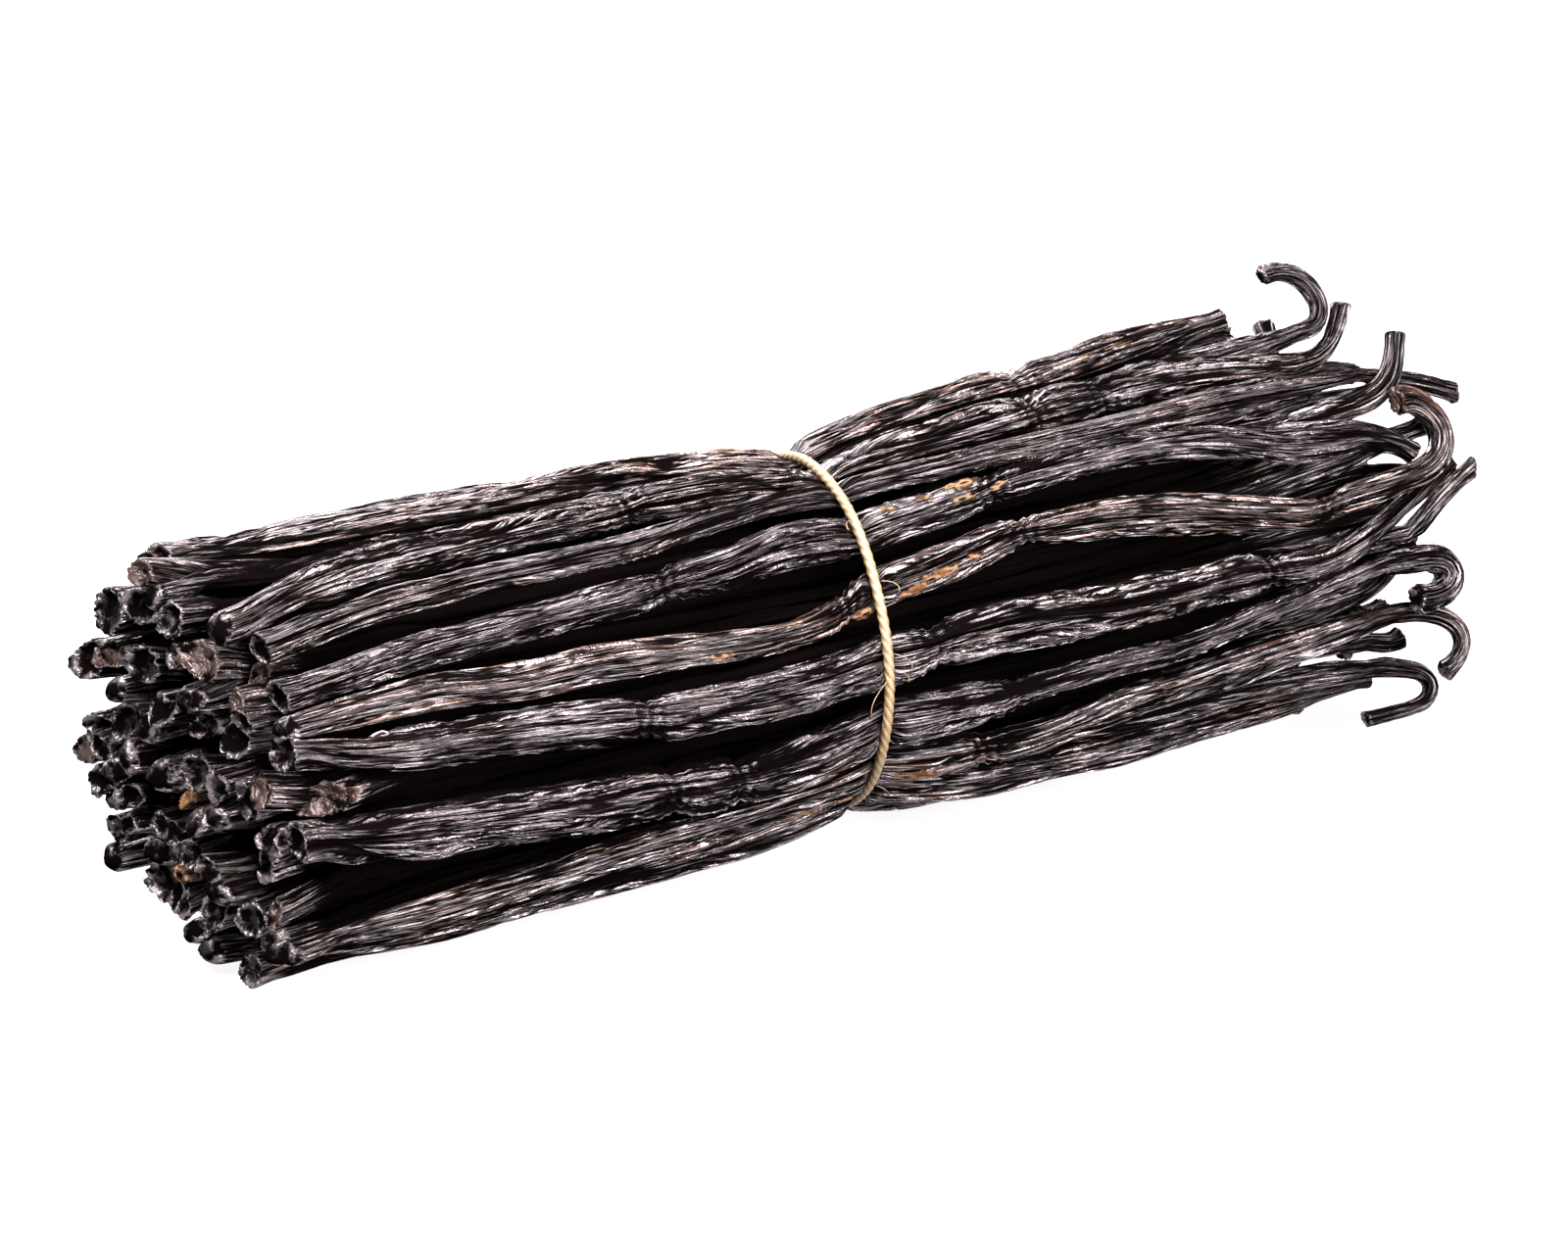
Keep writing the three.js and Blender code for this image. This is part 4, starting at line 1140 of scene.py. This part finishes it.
def pod_skin():
    """The skin of a cured pod: near-black brown and oily, with grey ridges between fine wrinkles darkened
    by painted shade, rust-brown edges, rare amber streaks, brown blossom scars and stalk ends, and tan
    corky patches with small pits. Furrows, shut wrinkles, blossom cups and the gaps between pressed pods
    give way to matte black painted shade, and blossom scars are partly matte."""
    skin = Finish("pod_skin")
    furrow, scar, tan, crinkle, cork, face = (
        skin.attribute(name) for name in ("furrow", "scar", "tan", "crinkle", "cork", "face"))
    lumps = skin.solid_noise(600, detail=3.0)
    pores = skin.noise(1500, 1900, detail=3.0, roughness=0.65).towards(lumps, face)
    ribs = skin.crease(55, 1150, 0.085, detail=3.0).towards(lumps.ramp(0.35, 0.65), face)
    threads = skin.crease(130, 2100, 0.075).towards(0.6, face)
    patches = skin.noise(60, 160, detail=3.0)
    fibres = skin.noise(60, 1500, detail=4.0, roughness=0.62)
    # This is low where painted shade darkens furrows, fine wrinkles, gaps and blossom cups.
    unshaded_skin = furrow.from_to(1, 0.1) * ribs.from_to(0.06, 1) * threads.from_to(0.18, 1)

    base = skin.mix(unshaded_skin, PAINTED_WRINKLE_SHADE, RIDGE_BLACK)
    rust = (patches + 0.35 * tan).ramp(0.52, 0.8) * fibres.ramp(0.48, 0.64) * tan.ramp(0.0, 0.7)
    base = skin.mix(rust * 0.8, base, RUST)
    streak = skin.noise(32, 900, detail=1.0).ramp(0.72, 0.78) * tan.ramp(0.0, 1.0)
    base = skin.mix(streak * 0.8, base, STREAK)
    brown = skin.mix(tan.ramp(1.2, 1.9), END_BROWN, END_GOLD)
    browned = scar * tan.ramp(0.3, 1.0) * pores.ramp(0.38, 0.6)
    base = skin.mix(browned, base, brown)

    spots = skin.spots(430, 620)
    rims = spots.ramp(0.2, 0.32) * spots.ramp(0.6, 0.44)
    bark = skin.mix(pores.ramp(0.4, 0.65), BARK_PORE, skin.mix(tan.ramp(0.0, 0.9), BARK_DARK, BARK_AMBER))
    bark = skin.mix(rims * pores.ramp(0.25, 0.5), bark, BARK_RIM)
    bark = skin.mix(spots.ramp(0.15, 0.24), BARK_PIT, bark)
    corked = (cork + (fibres - 0.5) * 1.2).ramp(0.35, 0.6)

    height = 0.7 * ribs + 0.45 * threads + pores * crinkle.from_to(0.2, 0.8) + 1.5 * cork * rims
    skin.shade(
        Base_Color=base,
        Roughness=0.46 - 0.16 * unshaded_skin - 0.12 * patches.ramp(0.4, 0.62) + 0.08 * pores + 0.06 * face,
        Normal=skin.bump(height, 0.0008),
        Specular_IOR_Level=1.0,
        Specular_Tint=SHEEN,
    )
    dusty = browned * face
    # Painted shade: furrows, wrinkles and gaps give way to matte black; corky bark and brown blossom scars
    # turn partly matte in their own colours.
    shade_bark_and_dust = (1 - unshaded_skin.ramp(0.09, 0.52)).towards(0.9, corked).towards(0.6, dusty)
    skin.dull(shade_bark_and_dust, skin.mix(dusty, skin.mix(corked, PAINTED_SHADE_BLACK, bark), brown))
    return skin.material


pod_material = pod_skin()
# How fine a pod's mesh is, by how well it can be seen.
FRONT = dict(columns=88, crowding=0.4, spacing=(0.55, 0.9, 0.95, 0.8), stalk_step=0.6)
BETWEEN = dict(columns=56, crowding=0.3, spacing=(0.55, 1.1, 1.2, 1.0), stalk_step=0.7)
BACK = dict(columns=48, crowding=0.3, spacing=(0.6, 1.2, 1.3, 1.1), stalk_step=0.9)
INNER = dict(columns=36, crowding=0.0, spacing=(0.45, 1.2, 8, 1.3), stalk_step=0.9)
# The pieces, each of several pods by their number.
back_start = len(FRONT_PODS)
side_start = back_start + 5
near_start = outer_count + 20
POD_GROUPS = {
    "pods_top": ([0, 1, 3, 4], FRONT),
    "pods_upper_front": ([6, 8, 9], FRONT),
    "pods_lower_front": ([11, 13, 15, 16], FRONT),
    "pods_between": ([2, 5, 7, 10, 12, 14], BETWEEN),
    "pods_underside": (range(back_start, side_start), BACK),
    "pods_far_side": (range(side_start, outer_count), BACK),
    "pods_inner_far": (range(outer_count, near_start), INNER),
    "pods_inner_near": (range(near_start, len(pods)), INNER),
}
for group_name, (members, fineness) in POD_GROUPS.items():
    piece = tube_mesh(group_name, [pod_surface(member, **fineness) for member in members], pod_material)
    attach(piece, "root")
    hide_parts("pod_bundle")


# ----------------------------------------------------------------------------------------------------
# The core. Deep inside, a matte black tube of painted shade stands in for the pods pressed into one mass,
# keeps light from passing between them, and is smooth, lumpy and thicker between the loose ends.
# ----------------------------------------------------------------------------------------------------
CORE_SPAN = (-79, 66)
CORE_SHARE, CORE_END_SHARE = 0.52, 0.72
CORE_SWELLS_FROM, CORE_SWELLS_OVER = 42, 20
CORE_ROWS, CORE_COLUMNS = 60, 48
CORE_LUMP, CORE_LUMP_LENGTH, CORE_LUMPS_ROUND = 0.04, 14, 12
CORE_SEED = 77


def core_surface():
    """The core: a share of the outline that swells towards both ends, rounded off there by the square
    root of 1 - 0.98 t^8, and made lumpy by noise."""
    x = np.linspace(*CORE_SPAN, CORE_ROWS)[:, None]
    turn = np.linspace(-np.pi, np.pi, CORE_COLUMNS, endpoint=False)[None]
    swelling = smooth((np.abs(x) - CORE_SWELLS_FROM) / CORE_SWELLS_OVER)
    share = CORE_SHARE + (CORE_END_SHARE - CORE_SHARE) * swelling
    rounded_end = np.sqrt(1 - 0.98 * np.linspace(-1, 1, CORE_ROWS)[:, None] ** 8)
    around, lengthwise = turn / 2 / np.pi * CORE_LUMPS_ROUND, x / CORE_LUMP_LENGTH + 60
    lumps = grain(around, lengthwise, CORE_LUMPS_ROUND, CORE_SEED)
    radius = outline_radius(x) * share * rounded_end * (1 + CORE_LUMP * lumps)
    points = gridded(x, bow(x) + radius * np.cos(turn), AXIS_HEIGHT + radius * np.sin(turn))
    return Tube(
        points=points + FRAME_SHIFT,
        lay=gridded(x, turn / (2 * np.pi) * POD_GIRTH),
        girth=POD_GIRTH,
        # Every point is marked as painted shade, so the core is matte black.
        marks={"furrow": np.ones(points.shape[:2])},
    )


core = tube_mesh("bundle_core", [core_surface()], pod_material)
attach(core, "root")
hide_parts("pod_bundle")


# ----------------------------------------------------------------------------------------------------
# The string. Waxed straw-coloured twine of three twisted strands goes once round the waist and is
# knotted at the far side, with its two ends trimmed short. A few loose fibres stand off it.
# ----------------------------------------------------------------------------------------------------
STRING_RADIUS = 0.64
LOOP_RADIUS = 21.9
LOOP_WOBBLE = 0.06
STRING_COLUMNS = 18
ROW_STEP = 0.2
TWIST_PITCH = 4.2
STRANDS = 3
VALLEY, CROWN_POWER = 0.78, 0.8
# The knot: its angle round the bundle, its size, its height for its breadth, how far it stands off
# the loop, and how tight its string is drawn.
KNOT_ANGLE = 10
KNOT_SCALE = 0.4464
KNOT_BREADTH, KNOT_HEIGHT = 0.85, 0.9
KNOT_LIFT = 0.9
KNOT_TIGHT = 0.95
KNOT_ROWS = 150
# The trimmed ends: where they start, their length, their drop and wave in degrees, and their lift.
TAIL_FROM_KNOT = 0.6
TAIL_LENGTH = 8
TAIL_DROP = 12
TAIL_WAVE, TAIL_WAVE_TURN = 3, 5
TAIL_LIFT, TAIL_REST = 1.2, 0.8
TAIL_TIGHT = 0.92
TAIL_ROWS = 45
# The fibres: how far out of the string's middle they start, along X and off the bundle, how far they
# run along X and round the bundle for their length, and how much they clear the widening bundle.
FIBRE_RADIUS = 0.05
FIBRE_ROWS = 14
FIBRE_START = 0.5
FIBRE_RUN, FIBRE_ROUND = 0.75, 2.2
FIBRE_CLEARS = 0.12
# Each fibre: the angle where it leaves the string, its length, its side along X and its lift.
FIBRES = (
    (163, 2.4, 1, 1.0), (168, 2.0, 1, 0.7), (171, 4.2, -1, 1.0), (140, 2.2, 1, 0.8),
    (118, 2.0, -1, 0.8), (30, 3.0, 1, 1.5), (350, 3.4, -1, 1.2), (60, 2.4, 1, 1.0),
    (215, 2.6, 1, 0.9),
)
# The twine's colours: its crowns, painted shade in the valley between strands, single fibres and stains.
STRAW = (0.072, 0.044, 0.0145, 1)
PAINTED_STRAND_SHADE = (0.018, 0.0088, 0.0025, 1)
PALE_FIBRE = (0.115, 0.084, 0.038, 1)
WAX_STAIN = (0.13, 0.08, 0.025, 1)


def cord_surface(line, outward, radius, closed, strands=STRANDS, columns=STRING_COLUMNS):
    """A twisted cord along a line of points. Round the cord, the radius goes from VALLEY between two
    strands to 1 on a crown, with |cos(strands / 2 times the turned angle)| to a power. The angle turns
    once in each pitch of the line's length."""
    if closed:
        before, after = line[-1:], line[:1]
    else:
        before, after = line[:1] * 2 - line[1:2], line[-1:] * 2 - line[-2:-1]
    wide = np.concatenate([before, line, after])
    ahead = wide[2:] - wide[:-2]
    ahead /= np.linalg.norm(ahead, axis=1)[:, None]
    length = np.concatenate([[0], np.cumsum(np.linalg.norm(np.diff(line, axis=0), axis=1))])
    out = outward - (outward * ahead).sum(1)[:, None] * ahead
    out /= np.linalg.norm(out, axis=1)[:, None]
    side = np.cross(ahead, out)
    whole = length[-1] + (np.linalg.norm(line[0] - line[-1]) if closed else 0)
    turns = round(strands * whole / TWIST_PITCH) / strands
    theta = np.linspace(-np.pi, np.pi, columns, endpoint=False)[None]
    turned = theta + 2 * np.pi * turns * (length / whole)[:, None]
    crown = np.abs(np.cos(strands / 2 * turned)) ** CROWN_POWER
    shape = radius * (VALLEY + (1 - VALLEY) * crown)
    radial = fanned(theta, out, side)
    return Tube(
        points=line[:, None] + shape[..., None] * radial + FRAME_SHIFT,
        lay=gridded(length[:, None], turned * radius),
        girth=2 * np.pi * radius,
        # dip: how far into the valley between strands, where the string's material paints shade.
        marks={"dip": 1 - crown},
        closed=closed,
    )


def round_bundle(x, degrees, radius):
    """Points at a distance from the bundle's middle line, and the directions outwards there."""
    out = np.column_stack([np.zeros_like(degrees), *across(degrees)])
    line = np.column_stack([x, bow(x), np.full_like(degrees, AXIS_HEIGHT)]) + out * radius[:, None]
    return line, out


def loop_surface():
    """The string's one turn round the waist: a circle that leans with the waist and wobbles a little."""
    degrees = np.linspace(0, 360, round(2 * np.pi * LOOP_RADIUS / ROW_STEP), endpoint=False)
    x = string_lean(degrees) + LOOP_WOBBLE * np.sin(np.radians(degrees * 7))
    line, out = round_bundle(x, degrees, np.full_like(degrees, LOOP_RADIUS))
    return cord_surface(line, out, STRING_RADIUS, True)


def knot_surface():
    """The knot: a trefoil, pressed flat on the bundle. Its three coordinates are sin t + 2 sin 2t,
    cos t - 2 cos 2t and -sin 3t."""
    turn = np.linspace(0, 2 * np.pi, KNOT_ROWS, endpoint=False)[:, None]
    out = np.array([0, *across(KNOT_ANGLE)])
    side = np.array([0, -out[2], out[1]])
    middle = np.array([string_lean(KNOT_ANGLE), 0, AXIS_HEIGHT]) + (LOOP_RADIUS + KNOT_LIFT) * out
    line = middle + KNOT_SCALE * (
        (np.sin(turn) + 2 * np.sin(2 * turn)) * [1, 0, 0]
        + (np.cos(turn) - 2 * np.cos(2 * turn)) * side * KNOT_BREADTH
        - KNOT_HEIGHT * np.sin(3 * turn) * out)
    return cord_surface(line, np.broadcast_to(out, line.shape), STRING_RADIUS * KNOT_TIGHT, True)


def tail_surface(way_along):
    """One trimmed end: it leaves the knot along X, drops round the bundle in a slow wave, and settles
    on the pods."""
    share = np.linspace(0, 1, TAIL_ROWS)
    x = string_lean(KNOT_ANGLE) + way_along * (TAIL_FROM_KNOT + TAIL_LENGTH * share)
    degrees = KNOT_ANGLE - TAIL_DROP * way_along * share + TAIL_WAVE * np.sin(share * TAIL_WAVE_TURN)
    clear = TAIL_LIFT * (1 - share) ** 2 + STRING_RADIUS * TAIL_REST
    line, out = round_bundle(x, degrees, outline_radius(x) + clear)
    return cord_surface(line, out, STRING_RADIUS * TAIL_TIGHT, False)


def fibre_surface(angle, length, way_along, lift):
    """One loose fibre: it swings out along X by a quarter wave, runs on round the bundle and lifts off it
    by part of a wave."""
    share = np.linspace(0, 1, FIBRE_ROWS)
    x = string_lean(angle) + way_along * (FIBRE_START + FIBRE_RUN * length * np.sin(share * 1.9))
    degrees = angle + FIBRE_ROUND * length * share ** 1.3
    radius = LOOP_RADIUS + FIBRE_START + lift * np.sin(share * 2.2) + FIBRE_CLEARS * np.abs(x)
    line, out = round_bundle(x, degrees, radius)
    return cord_surface(line, out, FIBRE_RADIUS, False, strands=1, columns=6)


def waxed_string():
    """Waxed straw-coloured twine: pale crowns, painted shade in the valley between the strands and fine
    fibres along the twist."""
    twine = Finish("waxed_string")
    dip = twine.attribute("dip")
    fibres = twine.noise(500, 6500, detail=3.0)
    stains = twine.noise(110, 300, detail=2.0)
    # Painted shade in the valleys between the strands.
    base = twine.mix(dip.ramp(0.2, 0.9), STRAW, PAINTED_STRAND_SHADE)
    base = twine.mix(fibres.ramp(0.5, 0.75) * 0.5, base, PALE_FIBRE)
    base = twine.mix(stains.ramp(0.55, 0.75) * 0.35, base, WAX_STAIN)
    twine.shade(
        Base_Color=base,
        Roughness=fibres.from_to(0.45, 0.75),
        Normal=twine.bump(fibres, 0.00012),
        Coat_Weight=0.15,
        Coat_Roughness=0.35,
    )
    return twine.material


string_material = waxed_string()
loop = tube_mesh("string_loop", [loop_surface()], string_material)
knot = tube_mesh("string_knot", [knot_surface(), tail_surface(-1), tail_surface(1)], string_material)
fibres = tube_mesh("string_fibres", [fibre_surface(*fibre) for fibre in FIBRES], string_material)
for piece in (loop, knot, fibres):
    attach(piece, "root")
    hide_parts("waist_tie")
